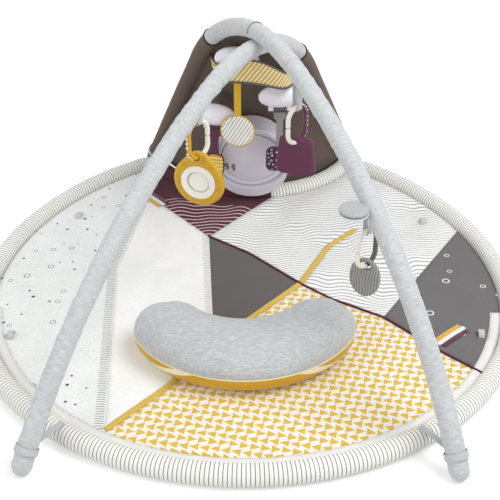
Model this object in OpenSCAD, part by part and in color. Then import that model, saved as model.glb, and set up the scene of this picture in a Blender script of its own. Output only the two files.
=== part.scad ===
// Activity play gym: a round padded mat, two crossed padded bow arches, a fabric backdrop with
// light pods and a kick drum, hanging toys and a loose tummy pillow.
// Millimetres. +X is right, +Y away from the child's head, +Z up, origin in mid-mat on the floor.

/* [Mat] */
// Outer width of the mat over its padded rim
mat_d = 976; // [940:2:1040]
// Outer radius of the mat's two flatter back curves
back_r = 600; // [570:5:640]
// Distance of the widest part of the mat in front of the origin
mat_y = 12; // [0:1:24]
// Diameter of the padded rim roll
rim_d = 36; // [28:1:44]
// Thickness of the quilted mat inside the rim
mat_t = 18; // [12:1:24]
// Thickness of the mat's backing cloth
backing_t = 2; // [1:0.5:4]
// Thickness of the patchwork cloth
patch_t = 2; // [1:0.5:4]
// Radius of the scallop at the back of the mat
scallop_r = 210; // [180:5:230]
// Distance of the scallop's centre behind mid-mat
scallop_y = 568; // [556:2:580]
// Radius of the rim's turn at each corner of the scallop
corner_r = 32; // [26:1:38]
// Width of the plain border at the front of the patchwork
border_w = 18; // [10:1:30]
// Distance from the widest part of the mat to the ends of the border
border_from = 60; // [20:5:150]
// Width of the mustard strip across the patchwork
strip_w = 10; // [6:1:16]
// Width of the burgundy piping across the patchwork
piping_w = 4; // [2:0.5:6]
// Height of the piping above the patchwork
piping_proud = 1.5; // [0.5:0.5:3]

/* [Arches] */
// Sideways distance of each back foot from the middle
back_foot_x = 214; // [206:1:222]
// Clearance between the back feet and the rim's corners
foot_gap = 10; // [9:0.5:18]
// Sideways distance of each front foot from the middle
front_foot_x = 320; // [300:5:350]
// Distance of the front feet in front of mid-mat
front_foot_y = 466; // [450:2:500]
// Distance of the crown from the back foot, along the floor
crown_u = 475; // [465:1:485]
// Mean height of the two tubes' centres at the crown
crown_h = 448; // [430:2:470]
// Turn of the crown behind its top that the grey sleeve covers, degrees
crown_rear_turn = 39; // [32:1:46]
// Bend radius of the crown
crown_r = 313; // [300:1:325]
// Turn of the crown in front of its top, degrees
crown_turn = 18; // [14:1:22]
// Height between the two tubes' centres at the crossing
crossing_gap = 23; // [20:1:28]
// Sideways lean of the springy arches, degrees
arch_lean = 2; // [0:0.5:3]
// Outer diameter of the padded sleeves
sleeve_d = 33; // [30:1:36]
// Thickness of the sleeve cloth
sleeve_t = 2; // [1:0.5:3]
// Diameter of the glass fibre poles
pole_d = 8; // [6:0.5:9]
// Diameter of the ferrule that joins two poles
ferrule_d = 12; // [11:0.5:14]
// Length of the ferrule
ferrule_l = 60; // [40:5:80]

/* [Backdrop] */
// Thickness of the backdrop cloth
panel_t = 3; // [2:0.5:5]
// Distance from the back foot at which the backdrop starts, along the floor
panel_low_u = 16; // [12:1:30]
// Distance from the back foot at which the backdrop ends, along the floor
panel_high_u = 375; // [359:2:381]
// How far the foot of the backdrop bellies forward
panel_belly = 125; // [110:1:127]
// Height of the backdrop's hem above the floor
hem_z = 8; // [3:1:24]
// How far the striped pelmet bows forward of the rear legs
pelmet_out = 104; // [98:1:112]

/* [Pods] */
// Width of each oval light pod
pod_d = 82; // [74:1:88]
// Height of each oval light pod
pod_h = 44; // [38:1:52]
// Depth of the pod's domed front
pod_dome_h = 16; // [12:1:20]
// Thickness of the pod's rear tray
pod_tray_t = 12; // [10:1:16]
// How far the pods face down towards the child, degrees
pod_lean = 6; // [0:1:12]
// How far the top pod's tray stands off the backdrop
top_pod_off = 30; // [28:1:34]
// How far the right pod's tray stands off the backdrop
right_pod_off = 58; // [54:1:62]
// How far the left pod's tray stands off the backdrop
left_pod_off = 62; // [60:1:64]
// Diameter of the stud that holds a pod through the cloth
pod_stud_d = 18; // [12:1:24]
// Diameter of the pod's hanger pin
hanger_d = 5; // [4:0.5:6]

/* [Kick drum] */
// Outer diameter of the drum's front ring
drum_d = 146; // [136:2:152]
// Diameter of the kick plate
kick_d = 118; // [108:2:122]
// Depth of the front ring
ring_depth = 14; // [12:1:18]
// Depth of the drum's rear shell
shell_depth = 40; // [36:1:46]
// Wall of the rear shell
shell_wall = 2.5; // [2:0.5:4]
// Sideways place of the drum's centre
drum_x = 4; // [-6:1:8]
// Distance of the drum's centre in front of the rim at the scallop's middle
drum_set = 36; // [34:1:40]
// Height of the drum's centre above the floor
drum_z = 128; // [126:1:132]
// Forward lean of the drum, degrees
drum_lean = 12; // [10:1:14]
// Travel of the kick plate
kick_travel = 4; // [2:0.5:6]

/* [Hanging toys] */
// Thickness of the link rings
link_t = 8; // [6:0.5:9]
// Outer width of the link rings
link_w = 48; // [44:1:56]
// Outer length of the link rings
link_l = 72; // [66:1:80]
// Gap in each link's smooth half
link_gap = 4; // [2:0.5:6]
// Width of the webbing loops
loop_w = 11; // [8:1:14]
// Thickness of the webbing
loop_t = 1.5; // [1:0.5:2.5]
// Thickness of the teethers
teether_t = 10; // [8:1:12]
// Radius of the egg teether's broad end
egg_r = 45; // [42:1:47]
// Radius of the egg teether's narrow end
egg_top_r = 24; // [22:1:28]
// Distance between the centres of the egg's two ends
egg_l = 32; // [30:1:40]
// Outer diameter of the ring in the egg teether
egg_ring_d = 60; // [54:1:62]
// Diameter of the disc that spins in that ring
spinner_d = 38; // [34:1:40]
// Width of the square teether
square_w = 70; // [62:1:76]
// Height of the square teether
square_h = 72; // [66:1:78]
// Length of the leaf
leaf_l = 84; // [78:1:90]
// Width of the leaf
leaf_w = 52; // [46:1:58]
// Diameter of the puck on the right leg
puck_d = 46; // [40:1:52]
// Thickness of the puck
puck_t = 14; // [10:1:18]
// Diameter of the round tag
tag_d = 66; // [58:1:68]
// Thickness of the cloth tags
tag_t = 6; // [4:0.5:8]

/* [Pillow] */
// Depth of the pillow's roll in the middle, front to back
pillow_w = 150; // [130:2:160]
// Depth of the pillow's roll at its horns
pillow_horn_w = 106; // [90:2:124]
// Height of the pillow
pillow_h = 80; // [64:2:96]
// Height of the seam between the pillow's top and base
pillow_seam = 36; // [28:1:42]
// Radius of the pillow's curve
pillow_r = 150; // [146:2:170]
// Turn of the pillow's curve from its middle to the tip of a horn, degrees
pillow_sweep = 76; // [66:1:84]
// Distance of the pillow's middle in front of the origin
pillow_y = 239; // [226:1:250]
// Sideways place of the pillow's middle
pillow_x = 5; // [-20:1:20]
// Turn of the loose pillow on the mat, degrees
pillow_turn = 3; // [-6:1:8]

/* [Hidden] */
$fn = 48;
// Clearance between pieces that lie against each other
fit = 0.3;
// Clearance of a pin that turns in its bore
pin_fit = 0.2;
// Half the gap at a sewn seam or a butt joint between two lengths of tube
seam = 0.05;

// Mat
rim_r = rim_d / 2;
rim_path_r = mat_d / 2 - rim_r;
scallop_path_r = scallop_r + rim_r;
inner_r = rim_path_r - rim_r - fit;
back_path_r = back_r - rim_r;
back_x = back_r - mat_d / 2;
scallop_gap = norm([back_x, scallop_y + mat_y]);
scallop_dir = [back_x, scallop_y + mat_y] / scallop_gap;
corner_reach = back_path_r - corner_r;
corner_along = (pow(corner_reach, 2) - pow(scallop_path_r + corner_r, 2) + pow(scallop_gap, 2))
    / (2 * scallop_gap);
corner_across = sqrt(pow(corner_reach, 2) - pow(corner_along, 2));
corner_x = -back_x + corner_along * scallop_dir[0] + corner_across * scallop_dir[1];
corner_y = -mat_y + corner_along * scallop_dir[1] - corner_across * scallop_dir[0];
corner_a = atan2(corner_y + mat_y, corner_x + back_x);
corner_end_a = atan2(scallop_y - corner_y, -corner_x);
scallop_a = atan2(corner_y - scallop_y, corner_x);
// Seam corners of the patchwork, in shares of the mat's half width, chosen by eye
mat_r = mat_d / 2;
seam_front = mat_r * [-0.424, -0.795];
seam_heather = mat_r * [-0.496, 0.123];
seam_back = mat_r * [-0.422, 0.668];
seam_tip = mat_r * [-0.156, 0.350];
seam_cross = mat_r * [0.201, 0.025];
seam_wedge = mat_r * [-0.022, -0.248];
seam_white = mat_r * [-0.113, -0.232];
seam_burgundy = mat_r * [0.129, 0.721];
seam_dot_back = mat_r * [0.830, 0.391];
seam_dot_front = mat_r * [0.494, -0.184];
seam_side = mat_r * [0.680, -0.385];
seam_side_end = mat_r * [0.930, -0.615];
seam_strip = mat_r * [-0.238, -0.572];
seam_strip_end = mat_r * [0.430, 0.416];
seam_strip_turn = mat_r * [0.316, 0.285];
seam_tip_turn = mat_r * [0.006, 0.230];
seam_dot_turn = mat_r * [0.316, -0.076];
seam_dot_far = 2 * seam_dot_back - seam_dot_front;
strip_path = [seam_strip_end, seam_strip_turn, seam_cross, seam_wedge, seam_strip, seam_front];
piping_path = [seam_tip, seam_tip_turn, seam_cross, seam_dot_turn, seam_dot_front, seam_side,
    seam_side_end];
// Angles of the toy loops round the rim
rim_loop_angles = [35, 143.5, 200, 342.5];
rim_loop_r = 8;
ribbon_w = 9;
ribbon_t = 1.2;
ribbon_l = 70;
ribbon_at = [mat_r * [0.721, -0.295], mat_r * [-0.402, 0.639]];
ribbon_turn = [43, -48];

// Arches: arch 0 runs from the back left foot to the front right foot and passes over arch 1
sleeve_r = sleeve_d / 2;
pole_r = pole_d / 2;
ferrule_r = ferrule_d / 2;
foam_r = sleeve_r - sleeve_t - fit;
foam_bore_r = ferrule_r + fit;
foot_z = sleeve_r / cos(arch_lean);
// The back feet stand against the outside of the rim's corners
foot_reach = corner_r + rim_r + foot_gap + sleeve_r;
back_foot_y = corner_y + sqrt(pow(foot_reach, 2) - pow(corner_x - back_foot_x, 2));
foot_span = [front_foot_x + back_foot_x, -front_foot_y - back_foot_y];
arch_run = norm(foot_span);
cross_u = arch_run * back_foot_x / foot_span[0];
cross_t = asin((cross_u - crown_u) / crown_r);
function seam_a(r) = seam / r * 180 / PI;
function arc_a(l, r) = l / r * 180 / PI;
binding_t = 1.2;
binding_w = 4;
squash_l = 36;

function arch_side(i) = i == 0 ? 1 : -1;
function plan_angle(i) = atan2(foot_span[1], arch_side(i) * foot_span[0]);
function crown_centre(i) = [crown_u, crown_h + arch_side(i) * crossing_gap / 2 - crown_r];
function rear_vector(i) = crown_centre(i) - [0, foot_z];
function rear_rise(i) = atan2(rear_vector(i)[1], rear_vector(i)[0])
    + asin(crown_r / norm(rear_vector(i)));
function rear_len(i) = sqrt(pow(norm(rear_vector(i)), 2) - pow(crown_r, 2));
function turn_dir() = [sin(crown_turn), cos(crown_turn)];
function front_start(i) = crown_centre(i) + crown_r * turn_dir();
function front_chord(i) = [arch_run, foot_z] - front_start(i);
function front_r(i) = front_chord(i) * front_chord(i) / (-2 * front_chord(i) * turn_dir());
function front_centre(i) = front_start(i) - front_r(i) * turn_dir();
function front_end(i) = atan2(arch_run - front_centre(i)[0], foot_z - front_centre(i)[1]);
function rear_end_u(i) = rear_len(i) * cos(rear_rise(i));
// Height of the tube's centre above the foot line, and its slope, at a distance u from the back foot
function bow_w(i, u) =
    u < rear_end_u(i) ? foot_z + u * tan(rear_rise(i))
    : u < front_start(i)[0] ? crown_centre(i)[1] + sqrt(pow(crown_r, 2) - pow(u - crown_u, 2))
    : front_centre(i)[1] + sqrt(pow(front_r(i), 2) - pow(u - front_centre(i)[0], 2));
function bow_slope(i, u) =
    u < rear_end_u(i) ? rear_rise(i)
    : u < front_start(i)[0] ? -asin((u - crown_u) / crown_r)
    : -asin((u - front_centre(i)[0]) / front_r(i));
function bow_to_room(i, u, w) = [
    -arch_side(i) * back_foot_x + u * cos(plan_angle(i)) - w * sin(arch_lean) * sin(plan_angle(i)),
    back_foot_y + u * sin(plan_angle(i)) + w * sin(arch_lean) * cos(plan_angle(i)),
    w * cos(arch_lean)];
function bow_point(i, u) = bow_to_room(i, u, bow_w(i, u));
cross_w = (bow_w(0, cross_u) + bow_w(1, cross_u)) / 2;
cross_tilt = atan(tan(-cross_t) / -sin(plan_angle(0)));
cross_at = [-cross_w * sin(arch_lean) / sin(plan_angle(0)),
    back_foot_y + cross_u * sin(plan_angle(0)), cross_w * cos(arch_lean)];

// Backdrop: rows run up the rear legs, columns from the left leg to the right leg
panel_rows = 14;
panel_cols = 18;
belly_power = 2.5;
function panel_edge(i, s) = bow_point(i, panel_low_u + s * (panel_high_u - panel_low_u));
function panel_half(s) = norm(panel_edge(1, s) - panel_edge(0, s)) / 2;
// The rows meet the sloping tubes at a slant, so they end further from the tubes' centres
function row_slant(s) = sqrt(1 - pow(cos(plan_angle(0))
    * cos(bow_slope(0, panel_low_u + s * (panel_high_u - panel_low_u))), 2));
function panel_reach(s) = 1 - (sleeve_r + binding_t + 4 * fit) / (panel_half(s) * row_slant(s));
function panel_mid(s, v) = (panel_edge(0, s) + panel_edge(1, s)) / 2
    + v * (panel_edge(1, s) - panel_edge(0, s)) / 2
    + [0, -panel_belly * pow(1 - s, belly_power) * (1 - v * v), 0];
// Below its lowest row the cloth drops straight to the hem, which lifts towards the legs
function panel_point(s, v) = let (p = panel_mid(max(s, 0), v))
    s < 0 ? [p[0], p[1], hem_z + (p[2] - hem_z) * v * v] : p;
// Pelmet: a visor of cloth in front of the pods, its ends at the rear legs
pelmet_cols = 16;
pelmet_rows = 4;
pelmet_s = 0.58;
pelmet_tuck = 0.03;
pelmet_lift = 13;
pelmet_h = 42;
pelmet_end_h = 12;
pelmet_t = 2.4;
pelmet_bind_h = 4;
function pelmet_end(v) = panel_mid(pelmet_s, v * (panel_reach(pelmet_s) - pelmet_tuck)) - [0, 6, 6];
// a runs up the cloth in millimetres, b from the left end to the right end
function pelmet_point(a, b, out = 0) = (pelmet_end(-1) * (1 - b) + pelmet_end(1) * (1 + b)) / 2
    + [0, -pelmet_out * (1 - pow(b, 6)) - out, pelmet_lift * (1 - b * b) + a];
function pelmet_top(b) = pelmet_end_h + (pelmet_h - pelmet_end_h) * (1 - b * b);
function pelmet_across(c) = 2 * c / pelmet_cols - 1;

// Pods: rows up and columns across the backdrop, chosen by eye
pod_at = [[0.679, -0.317], [0.523, 0.385], [0.403, -0.424]];
pod_r = pod_d / 2;
pod_squash = pod_h / pod_d;
pod_dome_r = (pow(pod_r, 2) + pow(pod_dome_h, 2)) / (2 * pod_dome_h);
pod_edge_r = pod_tray_t / 2;
pod_stud_r = pod_stud_d / 2;
pod_plate_t = 3;
// Half width of the small eye in the middle of each dome
pod_eye_r = 1.6;
pod_back = 10;
hanger_r = hanger_d / 2;
strap_barrel_r = hanger_r + pin_fit + 1.8;
hanger_drop = pod_h / 2 + strap_barrel_r + 3 * fit;
hanger_half = 13;
nub_r = 4.5;
function pod_point(k) = panel_mid(pod_at[k][0], pod_at[k][1]);
function pod_yaw(k) = let (step = 0.02, p = panel_mid(pod_at[k][0], pod_at[k][1] - step),
    q = panel_mid(pod_at[k][0], pod_at[k][1] + step)) atan2(q[1] - p[1], q[0] - p[0]);
// A point given across, out of and up the face of a pod, in the room
function pod_to_room(k, p) = let (y = p[1] * cos(pod_lean) - p[2] * sin(pod_lean),
    z = p[1] * sin(pod_lean) + p[2] * cos(pod_lean), a = pod_yaw(k))
    pod_point(k) + [p[0] * cos(a) - y * sin(a), p[0] * sin(a) + y * cos(a), z];
function pod_off(k) = [top_pod_off, right_pod_off, left_pod_off][k];
function pod_tray_y(k) = -pod_off(k) - pod_tray_t / 2;
function hanger_point(k) = pod_to_room(k, [0, pod_tray_y(k), -hanger_drop]);

// Straps and tags
strap_w = 13;
strap_t = 2.4;
strap_head_w = 22;
strap_head_h = 20;
strap_l = [90, 80, 60];
comb_slots = 6;
tag_w = [0, 50, 34];
tag_h = [0, 52, 44];
tag_edge = 12;

// Kick drum, in its own frame: -Y is the front, Z up the face
drum_r = drum_d / 2;
kick_r = kick_d / 2;
kick_gap = 0.6;
ring_in_r = kick_r + kick_gap;
ring_round = (drum_r - ring_in_r) / 2;
shell_r = drum_r - 6;
kick_t = 5;
kick_dish_r = 420;
guide_r = 4;
guide_pcd = 44;
spring_r = 7;
spring_wire = 1.4;
spring_turns = 5;
board_t = 1.6;
board_w = 56;
board_h = 40;
cell_r = 7.2;
cell_l = 50;
cell_z = -8;
speaker_r = 17;
speaker_t = 10;
door_w = 62;
door_h = 54;
lip_out = 8;
lip_drop = 19;
drum_y = scallop_y - scallop_path_r - drum_set;
// The foot with which the drum stands astride the rim
drum_foot_w = 44;
drum_foot_l = 22;
grille_r = 1.4;
grille_pcd = 9;
grille_holes = 8;
screw_r = 2;

// Hanging toys
link_r = link_t / 2;
link_bend_r = link_w / 2 - link_r;
link_straight = link_l - link_w;
link_span = link_straight + 2 * link_bend_r;
link_sag = function(half) link_bend_r - sqrt(pow(link_bend_r, 2) - pow(half, 2));
loop_in_r = link_r + link_sag(loop_w / 2) + fit;
// Each toy hangs turned from its link, so its hole runs aslant through the plate
toy_turn = 28;
hole_reach = 0.45 * link_t;
function hole_size(t) = link_r + link_sag((t / 2 + hole_reach * sin(toy_turn)) / cos(toy_turn)) + fit;
hole_r = hole_size(teether_t);
nub_bump_r = 2.2;
nub_turn = 18;
hole_drop = hole_r + 5;
leaf_t = 8;
leaf_arc_r = (pow(leaf_l, 2) + pow(leaf_w, 2)) / (4 * leaf_w);
spinner_t = 8;
spinner_pin_r = 1.6;
egg_ring_in_r = spinner_d / 2 + 1.2;
// Each toy: arch, distance of its loop from the back foot, length of the loop, turn of the link
egg_hang = [1, 627, 10, 44];
square_hang = [0, 590, 42, 44];
leaf_hang = [0, 820, 34, 42];
function hang_point(h) = bow_point(h[0], h[1])
    - [0, 0, sleeve_r / cos(bow_slope(h[0], h[1])) + h[2]];
puck_u = 829;
puck_out = sleeve_r + puck_d / 2 - 6;

// Pillow
pillow_rings = 36;
pillow_steps = 10;
pillow_end_share = pillow_horn_w / 2 / (pillow_r * pillow_sweep * PI / 180);

// Flat ring, and a round bar or tube along part of a bow
module ring_2d(r_out, r_in) {
    difference() {
        circle(r_out, $fn = 48);
        if (r_in > 0) circle(r_in, $fn = 48);
    }
}

module arch_frame(i) {
    translate([-arch_side(i) * back_foot_x, back_foot_y, 0])
        rotate([0, 0, plan_angle(i)])
            rotate([-arch_lean, 0, 0])
                children();
}

module bow_arc(i, centre, r, from, to) {
    arch_frame(i)
        translate([centre[0], 0, centre[1]])
            rotate([90, 0, 0])
                rotate([0, 0, 90 - to])
                    rotate_extrude(angle = to - from, $fn = 240)
                        translate([r, 0])
                            children();
}

module rear_run(i, r_out, r_in = 0, from = 0) {
    arch_frame(i)
        translate([0, 0, foot_z])
            rotate([0, 90 - rear_rise(i), 0])
                translate([0, 0, from])
                    linear_extrude(rear_len(i) - seam - from)
                        ring_2d(r_out, r_in);
}

module crown_run(i, from, to, r_out, r_in = 0) {
    bow_arc(i, crown_centre(i), crown_r, from, to) ring_2d(r_out, r_in);
}

module front_run(i, r_out, r_in = 0, to = 0) {
    bow_arc(i, front_centre(i), front_r(i), crown_turn + seam_a(front_r(i)), to > 0 ? to : front_end(i))
        ring_2d(r_out, r_in);
}

// A frame on the bow: X along the tube towards the front foot, Z out of the bend
module on_bow(i, u) {
    arch_frame(i)
        translate([u, 0, bow_w(i, u)])
            rotate([0, -bow_slope(i, u), 0])
                children();
}

// The slab that flattens an arch where it presses on the other one
module crossing_slab(i, inset) {
    translate(cross_at)
        rotate([-cross_tilt, 0, 0])
            translate([0, 0, arch_side(i) * (fit / 2 + inset - sleeve_d / 2)])
                cube([2 * squash_l, 2 * squash_l, sleeve_d], center = true);
}

module squashed(i, inset) {
    difference() {
        children();
        crossing_slab(i, inset);
    }
}

// Mat outline inside the rim, drawn in by an inset
module corner_2d(side) {
    k = [side * corner_x, corner_y];
    a = [side * cos(corner_a), sin(corner_a)];
    b = [side * cos(corner_end_a), sin(corner_end_a)];
    polygon([k, k + rim_d * a, k + rim_d * (a + b), k + rim_d * b]);
}

module mat_outline() {
    flare = rim_r + fit;
    difference() {
        translate([0, -mat_y]) {
            intersection() {
                circle(inner_r, $fn = 180);
                translate([0, rim_r - mat_d / 2]) square(mat_d, center = true);
            }
            intersection() {
                translate([back_x, 0]) circle(back_path_r - flare, $fn = 180);
                translate([-back_x, 0]) circle(back_path_r - flare, $fn = 180);
                translate([0, mat_d / 2]) square(mat_d, center = true);
            }
        }
        translate([0, scallop_y]) circle(scallop_path_r + flare, $fn = 120);
        for (side = [-1, 1]) corner_2d(side);
    }
}

// The plain border, a crescent along the front of the rim
module border_2d() {
    intersection() {
        translate([0, -mat_y])
            difference() {
                circle(inner_r, $fn = 180);
                circle(inner_r - border_w, $fn = 180);
            }
        translate([0, -mat_y - border_from - mat_d / 2]) square(mat_d, center = true);
    }
}

// A band along a path, mitred at its turns
function step_normal(p, q) = [p[1] - q[1], q[0] - p[0]] / norm(q - p);
function path_mitre(path, k) = let (
    last = len(path) - 1,
    a = step_normal(path[max(k - 1, 0)], path[max(k, 1)]),
    b = step_normal(path[min(k, last - 1)], path[min(k + 1, last)]))
    (a + b) / (1 + a * b);

module band_2d(path, w) {
    last = len(path) - 1;
    polygon(concat([for (k = [0 : last]) path[k] + w / 2 * path_mitre(path, k)],
        [for (k = [last : -1 : 0]) path[k] - w / 2 * path_mitre(path, k)]));
}

module patch(points) {
    translate([0, 0, mat_t - patch_t])
        linear_extrude(patch_t)
            difference() {
                intersection() {
                    mat_outline();
                    polygon(points);
                }
                border_2d();
                band_2d(strip_path, strip_w);
                band_2d(piping_path, piping_w);
            }
}

module mat_backing() {
    color("whitesmoke") linear_extrude(backing_t) mat_outline();
}

module mat_wadding() {
    color("white")
        translate([0, 0, backing_t])
            linear_extrude(mat_t - backing_t - patch_t)
                mat_outline();
}

module patch_heather() {
    color("gainsboro")
        patch([[seam_front[0], -mat_d], seam_front, seam_heather, seam_back, [seam_back[0], mat_d],
            [-mat_d, mat_d], [-mat_d, -mat_d]]);
}

module patch_white() {
    color("white")
        patch([seam_front, seam_heather, seam_back, seam_tip, seam_white, seam_wedge, seam_strip]);
}

module patch_burgundy() {
    color([0.30, 0.18, 0.21])
        patch([seam_tip, seam_back, [seam_back[0], mat_d], [seam_burgundy[0], mat_d], seam_burgundy]);
}

module patch_wave() {
    color("ghostwhite")
        patch([seam_tip, seam_burgundy, [seam_burgundy[0], mat_d], [mat_d, mat_d], seam_dot_far,
            seam_dot_back, seam_dot_front, seam_dot_turn, seam_cross, seam_tip_turn]);
}

module patch_charcoal() {
    color("dimgray") patch([seam_tip, seam_tip_turn, seam_cross, seam_wedge, seam_white]);
}

module patch_triangle() {
    color([0.94, 0.88, 0.66])
        patch([seam_cross, seam_dot_turn, seam_dot_front, seam_side, seam_side_end,
            [mat_d, -mat_d], [seam_front[0], -mat_d], seam_front, seam_strip, seam_wedge]);
}

module patch_dotted() {
    color("gray")
        patch([seam_dot_front, seam_dot_back, seam_dot_far, [mat_d, mat_d], [mat_d, -mat_d],
            seam_side_end, seam_side]);
}

module mat_border() {
    color("ivory") translate([0, 0, mat_t - patch_t]) linear_extrude(patch_t) border_2d();
}

// The cloth inside the border, which the strip and the piping run across
module in_border_2d() {
    difference() {
        intersection() {
            mat_outline();
            children();
        }
        border_2d();
    }
}

module mustard_strip() {
    color("goldenrod")
        translate([0, 0, mat_t - patch_t])
            linear_extrude(patch_t)
                difference() {
                    in_border_2d() band_2d(strip_path, strip_w);
                    band_2d(piping_path, piping_w);
                }
}

module patch_piping() {
    color([0.36, 0.12, 0.20])
        translate([0, 0, mat_t - patch_t])
            linear_extrude(patch_t + piping_proud)
                in_border_2d() band_2d(piping_path, piping_w);
}

module rim_arc(centre, r, from, sweep) {
    translate([centre[0], centre[1], rim_r])
        rotate([0, 0, from + seam_a(r)])
            rotate_extrude(angle = sweep - 2 * seam_a(r), $fn = 96)
                translate([r, 0])
                    circle(rim_r, $fn = 32);
}

module rim_bolster() {
    color("ivory") {
        rim_arc([0, -mat_y], rim_path_r, 180, 180);
        rim_arc([-back_x, -mat_y], back_path_r, 0, corner_a);
        rim_arc([back_x, -mat_y], back_path_r, 180 - corner_a, corner_a);
        rim_arc([corner_x, corner_y], corner_r, corner_a, corner_end_a - corner_a);
        rim_arc([-corner_x, corner_y], corner_r, 180 - corner_end_a, corner_end_a - corner_a);
        rim_arc([0, scallop_y], scallop_path_r, -180 - scallop_a, 180 + 2 * scallop_a);
    }
}

// A loop of webbing sewn to the mat, and one that hangs a toy from an arch
module rim_loop(a) {
    r = inner_r - border_w - loop_w;
    translate([r * cos(a), r * sin(a) - mat_y, mat_t])
        rotate([90, 0, 90])
            rotate_extrude(angle = 180)
                translate([rim_loop_r, -loop_w / 2])
                    square([loop_t, loop_w]);
}

module hang_loop(h) {
    drop = h[2] + sleeve_r * 0.2;
    translate(hang_point(h))
        rotate([0, 0, h[3]])
            rotate([90, 0, 90])
                linear_extrude(loop_w, center = true)
                    difference() {
                        union() {
                            circle(loop_in_r + loop_t);
                            translate([-loop_in_r - loop_t, 0]) square([2 * (loop_in_r + loop_t), drop]);
                        }
                        circle(loop_in_r);
                        translate([-loop_in_r, 0]) square([2 * loop_in_r, drop + loop_t]);
                    }
}

module leg_band(i, u) {
    on_bow(i, u)
        rotate([0, 90, 0])
            linear_extrude(loop_w, center = true)
                ring_2d(sleeve_r + fit + loop_t, sleeve_r + fit);
}

module webbing_loops() {
    color("lightgray") {
        for (a = rim_loop_angles) rim_loop(a);
        for (h = [egg_hang, square_hang, leaf_hang])
            difference() {
                hang_loop(h);
                front_run(h[0], sleeve_r + fit);
            }
    }
}

module ribbon_tags() {
    color("goldenrod")
        for (g = [0, 1], k = [-1, 0, 1])
            translate([ribbon_at[g][0], ribbon_at[g][1], mat_t])
                rotate([0, 0, ribbon_turn[g]])
                    translate([0, k * ribbon_w, ribbon_t / 2])
                        cube([ribbon_l - 6 * abs(k), ribbon_w - fit, ribbon_t], center = true);
}

// Straps that hold the feet to the mat: a band round the leg and a tail over the rim's crest
strap_z = rim_d + fit + loop_t / 2;
module foot_strap(i, u, towards, stop_r) {
    foot = bow_point(i, u);
    way = towards - [foot[0], foot[1]];
    leg_band(i, u);
    difference() {
        translate([foot[0], foot[1], strap_z])
            rotate([0, 0, atan2(way[1], way[0])])
                translate([0, -loop_w / 2, -loop_t / 2])
                    cube([norm(way) - stop_r, loop_w, loop_t]);
        if (u > cross_u) front_run(i, sleeve_r + fit + loop_t / 2);
        else rear_run(i, sleeve_r + fit + loop_t / 2);
    }
}

module leg_straps() {
    rise = strap_z / cos(arch_lean) - foot_z;
    color("darkgray")
        for (i = [0, 1]) {
            side = arch_side(i);
            foot_strap(i, arch_run - rise / tan(front_end(i)), [0, -mat_y], rim_path_r);
            foot_strap(i, rise / tan(rear_rise(i)), [-side * corner_x, corner_y], corner_r);
        }
}

module rear_poles() {
    color("darkslategray")
        for (i = [0, 1]) {
            rear_run(i, pole_r);
            crown_run(i, -rear_rise(i), crown_turn, pole_r);
        }
}

module front_poles() {
    color("darkslategray") for (i = [0, 1]) front_run(i, pole_r);
}

module pole_ferrules() {
    bore = pole_r + seam;
    half = ferrule_l / 2;
    color("silver")
        for (i = [0, 1]) {
            rear_run(i, ferrule_r, bore, rear_len(i) - half);
            crown_run(i, -rear_rise(i), -rear_rise(i) + arc_a(half, crown_r), ferrule_r, bore);
            crown_run(i, crown_turn - arc_a(half, crown_r), crown_turn, ferrule_r, bore);
            front_run(i, ferrule_r, bore, crown_turn + arc_a(half, front_r(i)));
        }
}

module foam_tubes() {
    color("lightyellow")
        for (i = [0, 1]) {
            rear_run(i, foam_r, foam_bore_r);
            squashed(i, sleeve_t + fit) crown_run(i, -rear_rise(i), crown_turn, foam_r, foam_bore_r);
            front_run(i, foam_r, foam_bore_r);
        }
}

// Part of a sleeve on the crown, flat where the arches press on each other
module crown_sleeve(i, from, to) {
    over = 1;
    difference() {
        squashed(i, 0) crown_run(i, from, to, sleeve_r);
        squashed(i, sleeve_t) crown_run(i, from - over, to + over, sleeve_r - sleeve_t);
    }
}

module front_sleeve_right() {
    color("silver") front_run(0, sleeve_r, sleeve_r - sleeve_t);
}

module front_sleeve_left() {
    color("silver") front_run(1, sleeve_r, sleeve_r - sleeve_t);
}

module crown_sleeves() {
    color("gainsboro")
        for (i = [0, 1]) {
            crown_sleeve(i, -crown_rear_turn, cross_t - seam_a(crown_r));
            crown_sleeve(i, cross_t, crown_turn);
        }
}

module rear_sleeves() {
    color([0.32, 0.28, 0.26])
        for (i = [0, 1]) {
            rear_run(i, sleeve_r, sleeve_r - sleeve_t);
            crown_run(i, -rear_rise(i), -crown_rear_turn - seam_a(crown_r), sleeve_r, sleeve_r - sleeve_t);
        }
}

module sleeve_bindings() {
    color([0.25, 0.23, 0.22]) {
        for (i = [0, 1])
            on_bow(i, crown_u - crown_r * sin(crown_rear_turn))
                rotate([0, 90, 0])
                    linear_extrude(binding_w, center = true)
                        ring_2d(sleeve_r + binding_t, sleeve_r + 0.05);
        on_bow(0, cross_u)
            rotate([0, 90, 0])
                rotate([0, 0, 90])
                    rotate_extrude(angle = 180)
                        translate([sleeve_r + 0.05, -binding_w / 2])
                            square([binding_t, binding_w]);
    }
}

module foot_cap() {
    difference() {
        sphere(sleeve_r);
        translate([0, 0, sleeve_r]) cube(2 * sleeve_r, center = true);
    }
}

module foot_caps() {
    color("gray")
        for (i = [0, 1]) {
            arch_frame(i) translate([0, 0, foot_z]) rotate([0, 90 - rear_rise(i), 0]) foot_cap();
            arch_frame(i) translate([arch_run, 0, foot_z]) rotate([0, front_end(i) - 90, 0]) foot_cap();
        }
}

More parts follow.
